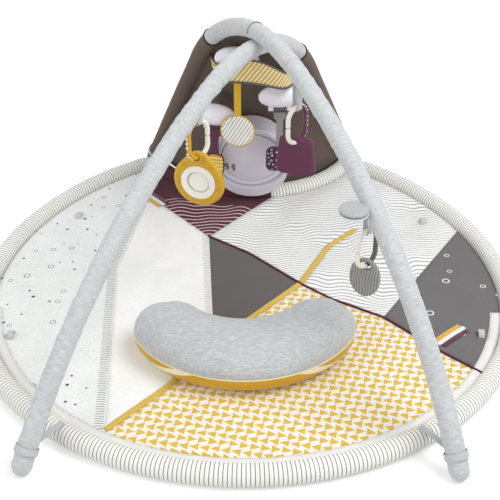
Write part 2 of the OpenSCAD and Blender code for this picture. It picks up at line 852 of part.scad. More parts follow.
// A closed sheet from a front and a back grid of points
module sheet(front, back, rows, cols) {
    n = (rows + 1) * (cols + 1);
    function at(r, c, f) = f * n + r * (cols + 1) + c;
    function quad(a, b, c, d) = [[a, b, c], [a, c, d]];
    rim = concat([for (c = [0 : cols]) [0, c]], [for (r = [1 : rows]) [r, cols]],
        [for (c = [cols - 1 : -1 : 0]) [rows, c]], [for (r = [rows - 1 : -1 : 1]) [r, 0]]);
    faces = concat(
        [for (r = [0 : rows - 1], c = [0 : cols - 1])
            each quad(at(r, c, 0), at(r + 1, c, 0), at(r + 1, c + 1, 0), at(r, c + 1, 0))],
        [for (r = [0 : rows - 1], c = [0 : cols - 1])
            each quad(at(r, c, 1), at(r, c + 1, 1), at(r + 1, c + 1, 1), at(r + 1, c, 1))],
        [for (k = [0 : len(rim) - 1]) let (p = rim[k], q = rim[(k + 1) % len(rim)])
            each quad(at(p[0], p[1], 0), at(q[0], q[1], 0), at(q[0], q[1], 1), at(p[0], p[1], 1))]);
    polyhedron(concat(front, back), faces, convexity = 6);
}

module backdrop_sheet() {
    grid = [for (r = [-1 : panel_rows], c = [0 : panel_cols]) let (s = r / panel_rows)
        panel_point(s, (2 * c / panel_cols - 1) * panel_reach(max(s, 0)))];
    sheet([for (p = grid) p - [0, panel_t / 2, 0]], [for (p = grid) p + [0, panel_t / 2, 0]],
        panel_rows + 1, panel_cols);
}

module pod_frame(k) {
    translate(pod_point(k)) rotate([0, 0, pod_yaw(k)]) rotate([pod_lean, 0, 0]) children();
}

// Turns a profile about the pod's axis, with +Y of the profile out of its face
module turned() {
    rotate([90, 0, 0]) rotate_extrude() children();
}

module backdrop_panel() {
    color([0.32, 0.28, 0.26])
        difference() {
            backdrop_sheet();
            for (k = [0 : 2])
                pod_frame(k) rotate([90, 0, 0]) cylinder(r = pod_stud_r + fit, h = 60, center = true);
        }
}

module pelmet() {
    function skin(out) = [for (r = [0 : pelmet_rows], c = [0 : pelmet_cols]) let (b = pelmet_across(c))
        pelmet_point(pelmet_bind_h + fit + r / pelmet_rows * pelmet_top(b), b, out)];
    color([0.93, 0.80, 0.42]) sheet(skin(pelmet_t), skin(0), pelmet_rows, pelmet_cols);
}

module pelmet_binding() {
    function skin(out) = [for (r = [0, 1], c = [0 : pelmet_cols])
        pelmet_point(r * pelmet_bind_h, pelmet_across(c), out)];
    color("dimgray") sheet(skin(pelmet_t + 1), skin(-1), 1, pelmet_cols);
}

module pod_domes() {
    color("ghostwhite")
        for (k = [0 : 2])
            pod_frame(k)
                translate([0, -pod_off(k) - pod_tray_t, 0])
                    resize([pod_d, pod_dome_h, pod_h])
                        turned()
                            intersection() {
                                translate([0, pod_dome_h - pod_dome_r]) circle(pod_dome_r, $fn = 80);
                                translate([pod_eye_r, 0]) square([pod_r - pod_eye_r, pod_dome_h]);
                            }
}

module pod_trays() {
    color("white")
        for (k = [0 : 2])
            pod_frame(k) {
                translate([0, -pod_off(k), 0])
                    scale([1, 1, pod_squash])
                        turned()
                            union() {
                                square([pod_r - pod_edge_r, pod_tray_t]);
                                translate([pod_r - pod_edge_r, pod_edge_r]) circle(pod_edge_r, $fn = 16);
                            }
                rotate([90, 0, 0])
                    translate([0, 0, -pod_back])
                        cylinder(r = pod_stud_r, h = pod_back + pod_off(k) + 1);
                for (side = [-1, 1])
                    translate([side * (hanger_half + nub_r), pod_tray_y(k), -hanger_drop])
                        rotate([0, 90, 0])
                            linear_extrude(2 * nub_r, center = true)
                                union() {
                                    circle(nub_r);
                                    translate([-hanger_drop / 2, -nub_r]) square([hanger_drop / 2, 2 * nub_r]);
                                }
                translate([0, pod_tray_y(k), -hanger_drop])
                    rotate([0, 90, 0])
                        cylinder(r = hanger_r, h = 2 * hanger_half + nub_r, center = true);
            }
}

module pod_back_plates() {
    color("white")
        for (k = [0 : 2])
            pod_frame(k)
                translate([0, pod_back, 0])
                    rotate([-90, 0, 0])
                        cylinder(r = 1.6 * pod_stud_r, h = pod_plate_t);
}

module drum_frame() {
    translate([drum_x, drum_y, drum_z]) rotate([drum_lean, 0, 0]) children();
}

// Holes in the rear wall in front of which the speaker sits
module speaker_grille() {
    translate([0, shell_depth - shell_wall - 1, shell_r - speaker_r - 5])
        rotate([-90, 0, 0]) {
            cylinder(r = grille_r, h = shell_wall + 2, $fn = 16);
            for (k = [1 : grille_holes])
                rotate([0, 0, 360 * k / grille_holes])
                    translate([grille_pcd, 0, 0])
                        cylinder(r = grille_r, h = shell_wall + 2, $fn = 16);
        }
}

module drum_rear_shell() {
    color("lavender") {
        difference() {
            union() {
                drum_frame() rotate([-90, 0, 0]) cylinder(r = shell_r, h = shell_depth);
                translate([drum_x - drum_foot_w / 2, scallop_y - scallop_path_r - drum_foot_l / 2, rim_r])
                    cube([drum_foot_w, drum_foot_l, drum_z - rim_r - shell_r / 2]);
            }
            translate([0, scallop_y, rim_r])
                rotate_extrude($fn = 96)
                    translate([scallop_path_r, 0])
                        circle(rim_r + fit);
            drum_frame() {
                translate([0, shell_depth - shell_wall, 0])
                    rotate([90, 0, 0])
                        cylinder(r = shell_r - shell_wall, h = 2 * shell_depth);
                translate([-door_w / 2, shell_depth - shell_wall - 1, cell_z - door_h / 2])
                    cube([door_w, shell_wall + 2, door_h]);
                speaker_grille();
            }
        }
        drum_frame()
            for (a = [-30, 90, 210])
                rotate([0, a, 0])
                    translate([guide_pcd, shell_depth - shell_wall / 2, 0])
                        rotate([90, 0, 0])
                            ring_post();
    }
}

// The sleeve in which a guide pin of the kick plate slides
module ring_post() {
    linear_extrude(shell_depth / 2) ring_2d(guide_r + 2.5, guide_r + pin_fit);
}

module drum_front_ring() {
    color("lavender")
        drum_frame() {
            turned()
                union() {
                    translate([ring_in_r, 0]) square([drum_r - ring_in_r, ring_depth - ring_round]);
                    translate([ring_in_r + ring_round, ring_depth - ring_round]) circle(ring_round);
                }
            rotate([90, 0, 0])
                linear_extrude(ring_depth + lip_out)
                    difference() {
                        translate([0, -lip_drop]) circle(drum_r, $fn = 96);
                        circle(drum_r - 1, $fn = 96);
                    }
        }
}

module kick_plate() {
    color([0.72, 0.71, 0.75])
        drum_frame()
            translate([0, -ring_depth / 2, 0]) {
                difference() {
                    rotate([90, 0, 0]) cylinder(r = kick_r, h = kick_t, $fn = 96);
                    translate([0, -kick_dish_r - kick_t / 2, 0]) sphere(kick_dish_r, $fn = 240);
                }
                for (a = [-30, 90, 210])
                    rotate([0, a, 0])
                        translate([guide_pcd, 0, 0])
                            rotate([-90, 0, 0])
                                cylinder(r = guide_r, h = ring_depth / 2 + shell_depth * 0.72);
            }
}

// One unbroken coil between the kick plate and the rear shell
spring_from = -ring_depth / 2;
spring_to = shell_depth - shell_wall - 2 * cell_r - 3 * fit - board_t;
spring_rings = 8 * spring_turns;
module kick_spring() {
    sides = 6;
    points = [for (k = [0 : spring_rings], m = [0 : sides - 1])
        let (a = 360 * k / 8, b = 360 * m / sides, r = spring_r + spring_wire / 2 * cos(b))
        [r * cos(a), spring_from + spring_wire + (spring_to - spring_from - 2 * spring_wire) * k / spring_rings
            + spring_wire / 2 * sin(b), r * sin(a)]];
    last = spring_rings * sides;
    color("silver")
        drum_frame()
            polyhedron(points, concat(
                [[for (m = [0 : sides - 1]) m]],
                [[for (m = [sides - 1 : -1 : 0]) last + m]],
                [for (k = [0 : spring_rings - 1], m = [0 : sides - 1])
                    let (a = k * sides + m, b = k * sides + (m + 1) % sides)
                    each [[a, a + sides, b + sides], [a, b + sides, b]]]), convexity = 10);
}

module circuit_board() {
    color("darkgreen")
        drum_frame() {
            translate([0, spring_to + board_t / 2, 0]) cube([board_w, board_t, board_h], center = true);
            translate([0, spring_to, 0]) rotate([90, 0, 0]) cylinder(r = 4, h = 4);
        }
}

module speaker() {
    color("dimgray")
        drum_frame()
            translate([0, shell_depth - shell_wall, shell_r - speaker_r - 5])
                rotate([90, 0, 0])
                    cylinder(r1 = speaker_r, r2 = speaker_r - 6, h = speaker_t);
}

module battery_cells() {
    color("gold")
        drum_frame()
            for (k = [-1, 0, 1])
                translate([k * (2 * cell_r + 1), shell_depth - shell_wall - cell_r - fit, cell_z])
                    cylinder(r = cell_r, h = cell_l, center = true);
}

module battery_door() {
    color("lavender")
        drum_frame()
            translate([0, shell_depth - shell_wall / 2, cell_z])
                difference() {
                    cube([door_w - 2 * fit, shell_wall, door_h - 2 * fit], center = true);
                    translate([0, 0, door_h / 2 - 3 * screw_r])
                        rotate([90, 0, 0])
                            cylinder(r = screw_r, h = 2 * shell_wall, center = true);
                }
}

// A hanging toy's frame: origin where the link hangs, X along the loop's axis
module hung(h) {
    translate(hang_point(h)) rotate([0, 0, h[3]]) children();
}

// Half of a link ring, on the +X side, from the top of the ring down
module link_half(side, gap) {
    mirror([side < 0 ? 1 : 0, 0, 0])
        difference() {
            union() {
                translate([0, 0, -link_bend_r])
                    rotate([90, 0, 0])
                        rotate_extrude(angle = 90) translate([link_bend_r, 0]) circle(link_r);
                translate([link_bend_r, 0, -link_bend_r - link_straight])
                    cylinder(r = link_r, h = link_straight);
                translate([0, 0, -link_bend_r - link_straight])
                    rotate([90, 0, 0])
                        rotate([0, 0, -90])
                            rotate_extrude(angle = 90) translate([link_bend_r, 0]) circle(link_r);
            }
            if (gap > 0)
                translate([link_bend_r, 0, -link_span / 2])
                    cube([2 * link_t, 2 * link_t, gap], center = true);
        }
}

// Knobs along the outer edge of a link's half, down its straight and round its bends
module link_nubs(side) {
    out = link_bend_r + link_r;
    mirror([side < 0 ? 1 : 0, 0, 0])
        translate([0, 0, -link_span / 2]) {
            for (k = [-1, 0, 1]) translate([out, 0, k * link_straight / 3]) sphere(nub_bump_r, $fn = 24);
            for (a = [nub_turn : nub_turn : 3 * nub_turn], up = [-1, 1])
                translate([out * cos(a), 0, up * (link_straight / 2 + out * sin(a))])
                    sphere(nub_bump_r, $fn = 24);
        }
}

module egg_link_smooth() {
    color("ivory") hung(egg_hang) link_half(1, link_gap);
}

module egg_link_nubbed() {
    color("goldenrod")
        hung(egg_hang) {
            link_half(-1, 0);
            link_nubs(-1);
        }
}

// A plate with round edges whose face looks along X, hung by its hole
module round_disc(r, t) {
    rotate([0, 90, 0])
        rotate_extrude($fn = 32)
            intersection() {
                union() {
                    translate([0, -t / 2]) square([r - t / 2, t]);
                    translate([r - t / 2, 0]) circle(t / 2, $fn = 12);
                }
                translate([0, -t]) square([2 * r, 2 * t]);
            }
}

module plate_at() {
    translate([0, 0, -link_span]) children();
}

module plate_turn() {
    rotate([0, 0, toy_turn]) children();
}

module plate_hole(t) {
    rotate([0, 90, 0]) cylinder(r = hole_size(t), h = 4 * teether_t, center = true);
}

egg_z = hole_drop - egg_top_r - egg_l;
module egg_teether() {
    color("goldenrod")
        hung(egg_hang)
            plate_at()
                difference() {
                    plate_turn()
                        hull() {
                            translate([0, 0, hole_drop - egg_top_r]) round_disc(egg_top_r, teether_t);
                            translate([0, 0, egg_z]) round_disc(egg_r, teether_t);
                        }
                    plate_hole(teether_t);
                    plate_turn()
                        translate([0, 0, egg_z])
                            rotate([0, 90, 0])
                                cylinder(r = egg_ring_d / 2 - 3, h = 4 * teether_t, center = true);
                }
}

module egg_ring() {
    color("ivory")
        hung(egg_hang)
            plate_at()
                plate_turn() translate([0, 0, egg_z])
                    difference() {
                        rotate([0, 90, 0]) {
                            linear_extrude(teether_t + 1, center = true)
                                ring_2d(egg_ring_d / 2 - 3 - fit, egg_ring_in_r);
                            for (side = [-1, 1])
                                translate([0, 0, side * (teether_t / 2 + 1)])
                                    linear_extrude(2 - fit, center = true)
                                        ring_2d(egg_ring_d / 2, egg_ring_in_r);
                        }
                        cylinder(r = spinner_pin_r + pin_fit / 2, h = egg_ring_d - 8, center = true);
                    }
}

module egg_spinner() {
    color("white")
        hung(egg_hang)
            plate_at()
                plate_turn() translate([0, 0, egg_z]) {
                    round_disc(spinner_d / 2, spinner_t);
                    cylinder(r = spinner_pin_r, h = egg_ring_d - 10, center = true);
                }
}

module square_link_smooth() {
    color("ivory") hung(square_hang) link_half(-1, link_gap);
}

module square_link_nubbed() {
    color([0.40, 0.15, 0.28])
        hung(square_hang) {
            link_half(1, 0);
            link_nubs(1);
        }
}

module square_teether() {
    corner = 12;
    taper = 5;
    color([0.38, 0.16, 0.26])
        hung(square_hang)
            plate_at()
                difference() {
                    plate_turn()
                        hull()
                            for (y = [-1, 1], z = [0, 1])
                                translate([0, y * (square_w / 2 - corner - taper * (1 - z)),
                                        hole_drop - corner - z * (square_h - 2 * corner)])
                                    round_disc(corner, teether_t);
                    plate_hole(teether_t);
                }
}

module leaf_link_pale() {
    color("ivory") hung(leaf_hang) link_half(-1, link_gap);
}

module leaf_link_dark() {
    color("dimgray") hung(leaf_hang) link_half(1, 0);
}

module leaf_toy() {
    inset = 9;
    color("gray")
        hung(leaf_hang)
            plate_at()
                difference() {
                    plate_turn() translate([0, 0, hole_drop + inset - leaf_l / 2])
                        rotate([0, 90, 0])
                            linear_extrude(leaf_t, center = true)
                                intersection() {
                                    translate([0, leaf_w / 2 - leaf_arc_r]) circle(leaf_arc_r, $fn = 120);
                                    translate([0, leaf_arc_r - leaf_w / 2]) circle(leaf_arc_r, $fn = 120);
                                    square([leaf_l - inset, leaf_w], center = true);
                                }
                    plate_hole(leaf_t);
                }
}

module leg_puck() {
    round_r = puck_t / 4;
    color("silver")
        difference() {
            translate(bow_point(0, puck_u))
                rotate([0, 0, plan_angle(0)])
                    translate([0, -puck_out, -puck_t / 2])
                        rotate_extrude()
                            union() {
                                square([puck_d / 2 - round_r, puck_t]);
                                for (z = [1, 3])
                                    translate([puck_d / 2 - round_r, z * round_r]) circle(round_r);
                            }
            front_run(0, sleeve_r + fit);
        }
}

// A strap that hangs on a pod's pin, and the cloth tag sewn to it
module strap_frame(k) {
    translate(hanger_point(k)) rotate([0, 0, pod_yaw(k)]) children();
}

module strap(k) {
    half = hanger_half - fit;
    strap_frame(k)
        difference() {
            union() {
                rotate([0, 90, 0]) cylinder(r = strap_barrel_r, h = 2 * half, center = true);
                rotate([90, 0, 0])
                    linear_extrude(strap_t, center = true)
                        polygon([[-half, 0], [half, 0], [strap_head_w / 2, -strap_head_h],
                            [strap_w / 2, -strap_head_h - 4], [strap_w / 2, -strap_l[k]],
                            [-strap_w / 2, -strap_l[k]], [-strap_w / 2, -strap_head_h - 4],
                            [-strap_head_w / 2, -strap_head_h]]);
            }
            rotate([0, 90, 0]) cylinder(r = hanger_r + pin_fit, h = 4 * half, center = true);
            for (m = [0 : comb_slots - 1])
                translate([(m - (comb_slots - 1) / 2) * 2 * half / comb_slots, 0, -strap_barrel_r])
                    cube([half / comb_slots, 4 * strap_barrel_r, 2 * hanger_r], center = true);
        }
}

module strap_round() {
    color("goldenrod") strap(0);
}

module strap_right() {
    color("gray") strap(1);
}

module strap_left() {
    color([0.36, 0.12, 0.20]) strap(2);
}

module tag_round() {
    color("ivory")
        strap_frame(0)
            translate([0, 0, -strap_l[0] - tag_d / 2])
                rotate([90, 0, 0])
                    linear_extrude(tag_t, center = true)
                        circle(d = tag_d);
}

module soft_tag(k) {
    w = tag_w[k];
    h = tag_h[k];
    strap_frame(k)
        translate([0, 0, -strap_l[k] - fit - h / 2])
            rotate([90, 0, 0])
                linear_extrude(tag_t, center = true) {
                    square([w - 2 * tag_edge, h], center = true);
                    square([w, h - 2 * tag_edge], center = true);
                    for (x = [-1, 1], y = [-1, 1])
                        translate([x * (w / 2 - tag_edge), y * (h / 2 - tag_edge)]) circle(tag_edge);
                }
}

module tag_left() {
    color("goldenrod") soft_tag(2);
}

module tag_right() {
    color([0.25, 0.16, 0.28]) soft_tag(1);
}

// Pillow: rings across a crescent that is hollow at the back; each ring is half an oval
function pillow_along(k) = sin(90 * (2 * k / pillow_rings - 1));
function pillow_end(x) = max(0, (abs(x) - 1 + pillow_end_share) / pillow_end_share);
function pillow_swell(x) = sqrt(max(0.0016, 1 - pow(pillow_end(x), 2)));
function pillow_ring(k, m, high, low) = let (
    x = pillow_along(k),
    a = pillow_sweep * x,
    swell = pillow_swell(x),
    half = (pillow_w + (pillow_horn_w - pillow_w) * x * x) / 2 * swell,
    b = 180 * m / pillow_steps,
    r = pillow_r + half * cos(b))
    [r * sin(a), pillow_r - r * cos(a), low + (high - low) * sin(b) * swell];

module pillow_half(seam, tip) {
    n = pillow_steps + 1;
    points = [for (k = [0 : pillow_rings], m = [0 : pillow_steps]) pillow_ring(k, m, tip, seam)];
    last = pillow_rings * n;
    flip = tip < seam;
    faces = concat(
        [for (k = [0 : pillow_rings - 1], m = [0 : pillow_steps - 1]) let (a = k * n + m)
            each [[a, a + n, a + n + 1], [a, a + n + 1, a + 1]]],
        [for (k = [0 : pillow_rings - 1]) let (a = k * n, b = a + pillow_steps)
            each [[a, b, b + n], [a, b + n, a + n]]],
        [for (m = [1 : pillow_steps - 1]) [0, m, m + 1]],
        [for (m = [1 : pillow_steps - 1]) [last, last + m + 1, last + m]]);
    polyhedron(points, flip ? [for (f = faces) [f[2], f[1], f[0]]] : faces, convexity = 6);
}

module pillow_frame() {
    translate([pillow_x, -pillow_y, mat_t + fit]) rotate([0, 0, pillow_turn]) children();
}

module pillow_top() {
    color("silver") pillow_frame() pillow_half(pillow_seam, pillow_h);
}

module pillow_base() {
    color([0.87, 0.72, 0.34])
        pillow_frame()
            intersection() {
                pillow_half(pillow_seam, -pillow_seam / 3);
                translate([0, 0, pillow_h / 2]) cube([4 * pillow_r, 4 * pillow_r, pillow_h], center = true);
            }
}

mat_backing();
mat_wadding();
patch_heather();
patch_white();
patch_burgundy();
patch_wave();
patch_charcoal();
patch_triangle();
patch_dotted();
mat_border();
mustard_strip();
patch_piping();
rim_bolster();
webbing_loops();
ribbon_tags();
leg_straps();
rear_poles();
front_poles();
pole_ferrules();
foam_tubes();
front_sleeve_right();
front_sleeve_left();
crown_sleeves();
rear_sleeves();
sleeve_bindings();
foot_caps();
backdrop_panel();
pelmet();
pelmet_binding();
pod_domes();
pod_trays();
pod_back_plates();
drum_rear_shell();
drum_front_ring();
kick_plate();
kick_spring();
circuit_board();
speaker();
battery_cells();
battery_door();
egg_link_smooth();
egg_link_nubbed();
egg_teether();
egg_ring();
egg_spinner();
square_link_smooth();
square_link_nubbed();
square_teether();
leaf_link_pale();
leaf_link_dark();
leaf_toy();
leg_puck();
strap_round();
tag_round();
strap_left();
tag_left();
strap_right();
tag_right();
pillow_top();
pillow_base();
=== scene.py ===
"""Looks of a padded play gym: quilted patchwork mat, wrinkled jersey sleeves, backdrop, pelmet,
moulded pods and drum, hanging toys and a stuffed pillow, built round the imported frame."""

import math

import bmesh
import bpy
import numpy as np
from mathutils import Matrix, Vector, noise
from mathutils.geometry import delaunay_2d_cdt
from mathutils.kdtree import KDTree


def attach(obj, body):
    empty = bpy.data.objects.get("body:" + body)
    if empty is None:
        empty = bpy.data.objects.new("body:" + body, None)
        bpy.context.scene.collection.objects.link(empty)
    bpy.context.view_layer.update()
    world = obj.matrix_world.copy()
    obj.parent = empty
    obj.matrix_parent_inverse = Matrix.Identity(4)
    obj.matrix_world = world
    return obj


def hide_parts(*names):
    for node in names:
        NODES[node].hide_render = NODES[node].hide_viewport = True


bl_info = {
    "name": "Play gym looks",
    "version": (1, 0, 0),
    "blender": (4, 5, 0),
    "location": "3D View > Sidebar > Play gym",
    "description": "Dresses a play gym's frame in cloth, wadding, webbing and moulded plastic",
    "category": "Object",
}

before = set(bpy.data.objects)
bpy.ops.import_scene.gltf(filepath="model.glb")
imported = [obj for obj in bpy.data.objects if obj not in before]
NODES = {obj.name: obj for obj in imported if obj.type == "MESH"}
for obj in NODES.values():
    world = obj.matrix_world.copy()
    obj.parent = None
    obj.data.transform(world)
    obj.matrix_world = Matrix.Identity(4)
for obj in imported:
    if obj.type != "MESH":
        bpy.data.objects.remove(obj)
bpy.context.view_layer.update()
MM = 0.001

# The frame's own sizes in millimetres, repeated from its source
MAT_D, MAT_Y, BACK_R, RIM_R, MAT_T, PATCH_T = 976.0, 12.0, 600.0, 18.0, 18.0, 2.0
SCALLOP_R, SCALLOP_Y, CORNER_R, BORDER_W = 210.0, 568.0, 32.0, 18.0
BACK_FOOT_X, FOOT_GAP = 214.0, 10.0
FRONT_FOOT = (320.0, 466.0)
CROWN_U, CROWN_H, CROWN_R = 475.0, 448.0, 313.0
CROWN_TURN, CROWN_REAR_TURN = math.radians(18), math.radians(39)
CROSSING_GAP, ARCH_LEAN, SLEEVE_R = 23.0, math.radians(2), 16.5
PANEL_LOW_U, PANEL_HIGH_U, PANEL_BELLY, BELLY_POWER, HEM_Z = 16.0, 375.0, 125.0, 2.5, 8.0
PELMET_S, PELMET_TUCK, PELMET_OUT, PELMET_LIFT = 0.58, 0.03, 104.0, 13.0
PELMET_H, PELMET_END_H, PELMET_BIND_H = 42.0, 12.0, 4.0
POD_AT = ((0.679, -0.317), (0.523, 0.385), (0.403, -0.424))
POD_H, POD_TRAY_T, POD_LEAN, POD_STUD_R = 44.0, 12.0, math.radians(6), 9.0
POD_OFF = (30.0, 58.0, 62.0)
HANGER_DROP = POD_H / 2 + 4.5 + 0.9
STRAP_L = (90.0, 80.0, 60.0)
TAG_SIZE = ((66.0, 66.0), (50.0, 52.0), (34.0, 44.0))
TAG_T, TAG_EDGE, TAG_CORNER_R = 6.0, 0.6, 12.0
LOOP_W, LOOP_T, LINK_SPAN, HOLE_DROP, LEAF_HOLE_R = 11.0, 1.5, 64.0, 10.8, 5.4
LINK_W, LINK_R = 48.0, 4.0
RIB_H = 9.0
MAT_LOOP_TURNS, MAT_LOOP_R, HANG_LOOP_R = (35, 143.5, 200, 342.5), 8.75, 5.07
EGG_HANG, SQUARE_HANG, LEAF_HANG = (1, 627.0, 10.0, 44.0), (0, 590.0, 42.0, 44.0), (0, 820.0, 34.0, 42.0)
TOY_TURN = math.radians(28)
LEAF_HALF, LEAF_DROP = (25.2, 36.6), HOLE_DROP + 9 - 42
PUCK_U, PUCK_R, PUCK_T = 829.0, 23.0, 14.0
# Radius and height along the puck's side, from its base over the welt to its top
PUCK_PROFILE = ((2, 0.1), (17, 0.3), (20.5, 1.4), (22.4, 3.2), (22.9, 4.8), (22.2, 6.0), (20.6, 6.3),
    (20.4, 7.2), (22.4, 7.6), (23.0, 9.2), (22.3, 11.3), (20.2, 12.7), (16, 13.5), (9, 13.9), (2, 14.0))
PILLOW_R, PILLOW_SWEEP, PILLOW_W, PILLOW_HORN_W = 150.0, math.radians(76), 150.0, 106.0
PILLOW_H, PILLOW_SEAM, PILLOW_AT, PILLOW_TURN = 80.0, 36.0, (5.0, -239.0), math.radians(3)
# Seam corners in shares of the mat's half width
SEAM_SHARES = {"front": (-0.424, -0.795), "heather": (-0.496, 0.123), "back": (-0.422, 0.668),
    "tip": (-0.156, 0.350), "tip_turn": (0.006, 0.230), "cross": (0.201, 0.025), "white": (-0.113, -0.232),
    "dot_turn": (0.316, -0.076), "dot_front": (0.494, -0.184), "side": (0.680, -0.385),
    "side_end": (0.930, -0.615)}
SEAMS = {name: (x * MAT_D / 2, y * MAT_D / 2) for name, (x, y) in SEAM_SHARES.items()}
RIBBON_SHARES, RIBBON_L, RIBBON_PITCH = ((0.721, -0.295), (-0.402, 0.639)), 70.0, 9.0
WRAP_FROM_Y, WRAP_X = 300.0, (-186.0, 46.0)
# Fineness of the soft meshes, and how far they stay off the floor
PUFF_FRAMES, RIM_SIDES, SLEEVE_SIDES, LATHE_SIDES, PILLOW_RINGS, PILLOW_STEPS = 20, 28, 36, 48, 120, 28
STUFFED_STEP, BACKING_STEP, FLOOR_GAP, RIM_FLOOR_GAP = 2.6, 14.0, 0.2, 0.15
# Rings of a sleeve's rounded end, as turns of a quarter circle, and its length in shares of the radius
CAP_TURNS, CAP_SHARE = np.radians([18, 36, 54, 70, 82, 88]), 0.97
# Footprints on the kick plate: middle across and up, half width and half height of each oval
FOOTPRINTS = ((-45.5, 108.0, 4.3, 5.6), (-43.0, 101.0, 3.1, 5.0), (-32.0, 105.0, 4.3, 5.6),
    (-31.0, 97.5, 3.1, 5.0))
# A wave texture's bands repeat every tau / 20 of its scaled coordinate
WAVE_PERIOD = math.tau / 20
# The stage, in metres: half the floor's width, and the photograph's camera
FLOOR_HALF, EYE_AT, LENS, SENSOR = 12.0, (0.0365, -1.6471, 1.1516), 79.2, 36.0
EYE_TURN, EYE_PITCH = math.radians(1.033), math.radians(32.648)


def linear(hex_code):
    """An sRGB hex value as the linear colour that shaders take."""
    parts = [int(hex_code[k : k + 2], 16) / 255 for k in (1, 3, 5)]
    return (*(c / 12.92 if c <= 0.04045 else ((c + 0.055) / 1.055) ** 2.4 for c in parts), 1.0)


def colour_prop(label, text, hex_code):
    """A colour that a user can change, from its sRGB hex value."""
    return bpy.props.FloatVectorProperty(name=label, description=text, subtype="COLOR", size=4,
        min=0, max=1, default=linear(hex_code))


def length_prop(label, text, default, low, high):
    """A length that a user can change, in metres, from millimetres."""
    return bpy.props.FloatProperty(name=label, description=text, default=default * MM, min=low * MM,
        max=high * MM, unit="LENGTH", precision=4)


class GymSizes(bpy.types.PropertyGroup):
    """Sizes of the soft finish, in metres."""

    wrinkle: length_prop("Sleeve wrinkles", "Depth of the cross wrinkles in the jersey sleeves", 1.1, 0, 3)
    quilt: length_prop("Seam depth", "How far the quilted cloth is drawn down at its seams", 1.4, 0, 3)
    rim_stripe: length_prop("Rim stripe pitch", "Spacing of the stripes round the rim", 6.5, 3, 12)
    mesh_step: length_prop("Cloth mesh step", "Spacing of the points in the cloth meshes", 7.0, 4, 20)


class GymColours(bpy.types.PropertyGroup):
    """Colours of the cloths and plastics."""

    heather: colour_prop("Heather", "Pale heather jersey of the mat", "#EEF0EF")
    white: colour_prop("White cotton", "Plain white panel of the mat", "#F2F2F0")
    burgundy: colour_prop("Burgundy", "Dark panel at the foot of the backdrop", "#592E38")
    charcoal: colour_prop("Charcoal", "Plain wedge of the mat", "#64605F")
    dotted: colour_prop("Dotted grey", "Dark panel with dots", "#6F6D6D")
    cream: colour_prop("Cream", "Cream cotton of the border, rim and prints", "#EFEEE8")
    mustard: colour_prop("Mustard print", "Printed triangles and strip", "#D8B54A")
    jersey: colour_prop("Sleeve jersey", "Light grey jersey of the arch sleeves", "#D2D5D7")
    taupe: colour_prop("Taupe", "Backdrop and rear sleeves", "#665950")
    lilac: colour_prop("Lilac plastic", "Moulded drum", "#D2CED8")
    pod: colour_prop("Pod plastic", "Moulded pods", "#EDEAF2")
    gold: colour_prop("Mustard rubber", "Egg teether, strap and pillow base", "#CFA21E")
    plum: colour_prop("Plum rubber", "Square teether and nubbed link", "#5F2847")
    pillow: colour_prop("Pillow jersey", "Heather jersey of the pillow's top", "#CDD0D2")


def sizes():
    return bpy.context.scene.gym_sizes


def colours():
    return bpy.context.scene.gym_colours


# Frame lines: the rim's corner, the arches, the backdrop and the pods, in millimetres
def rim_corner():
    """Centre of the rim's corner beside the scallop, and the turns at which its arcs meet."""
    back_x = BACK_R - MAT_D / 2
    gap = math.hypot(back_x, SCALLOP_Y + MAT_Y)
    way = (back_x / gap, (SCALLOP_Y + MAT_Y) / gap)
    reach = BACK_R - RIM_R - CORNER_R
    along = (reach**2 - (SCALLOP_R + RIM_R + CORNER_R) ** 2 + gap**2) / (2 * gap)
    across = math.sqrt(reach**2 - along**2)
    x, y = -back_x + along * way[0] + across * way[1], -MAT_Y + along * way[1] - across * way[0]
    turns = (math.atan2(y + MAT_Y, x + back_x), math.atan2(SCALLOP_Y - y, -x), math.atan2(y - SCALLOP_Y, x))
    return (x, y), turns


CORNER, CORNER_TURNS = rim_corner()
FOOT_REACH = CORNER_R + RIM_R + FOOT_GAP + SLEEVE_R
BACK_FOOT = (BACK_FOOT_X, CORNER[1] + math.sqrt(FOOT_REACH**2 - (CORNER[0] - BACK_FOOT_X) ** 2))
FOOT_Z = SLEEVE_R / math.cos(ARCH_LEAN)
FOOT_SPAN = (FRONT_FOOT[0] + BACK_FOOT[0], -FRONT_FOOT[1] - BACK_FOOT[1])
ARCH_RUN = math.hypot(*FOOT_SPAN)
CROSS_U = ARCH_RUN * BACK_FOOT[0] / FOOT_SPAN[0]


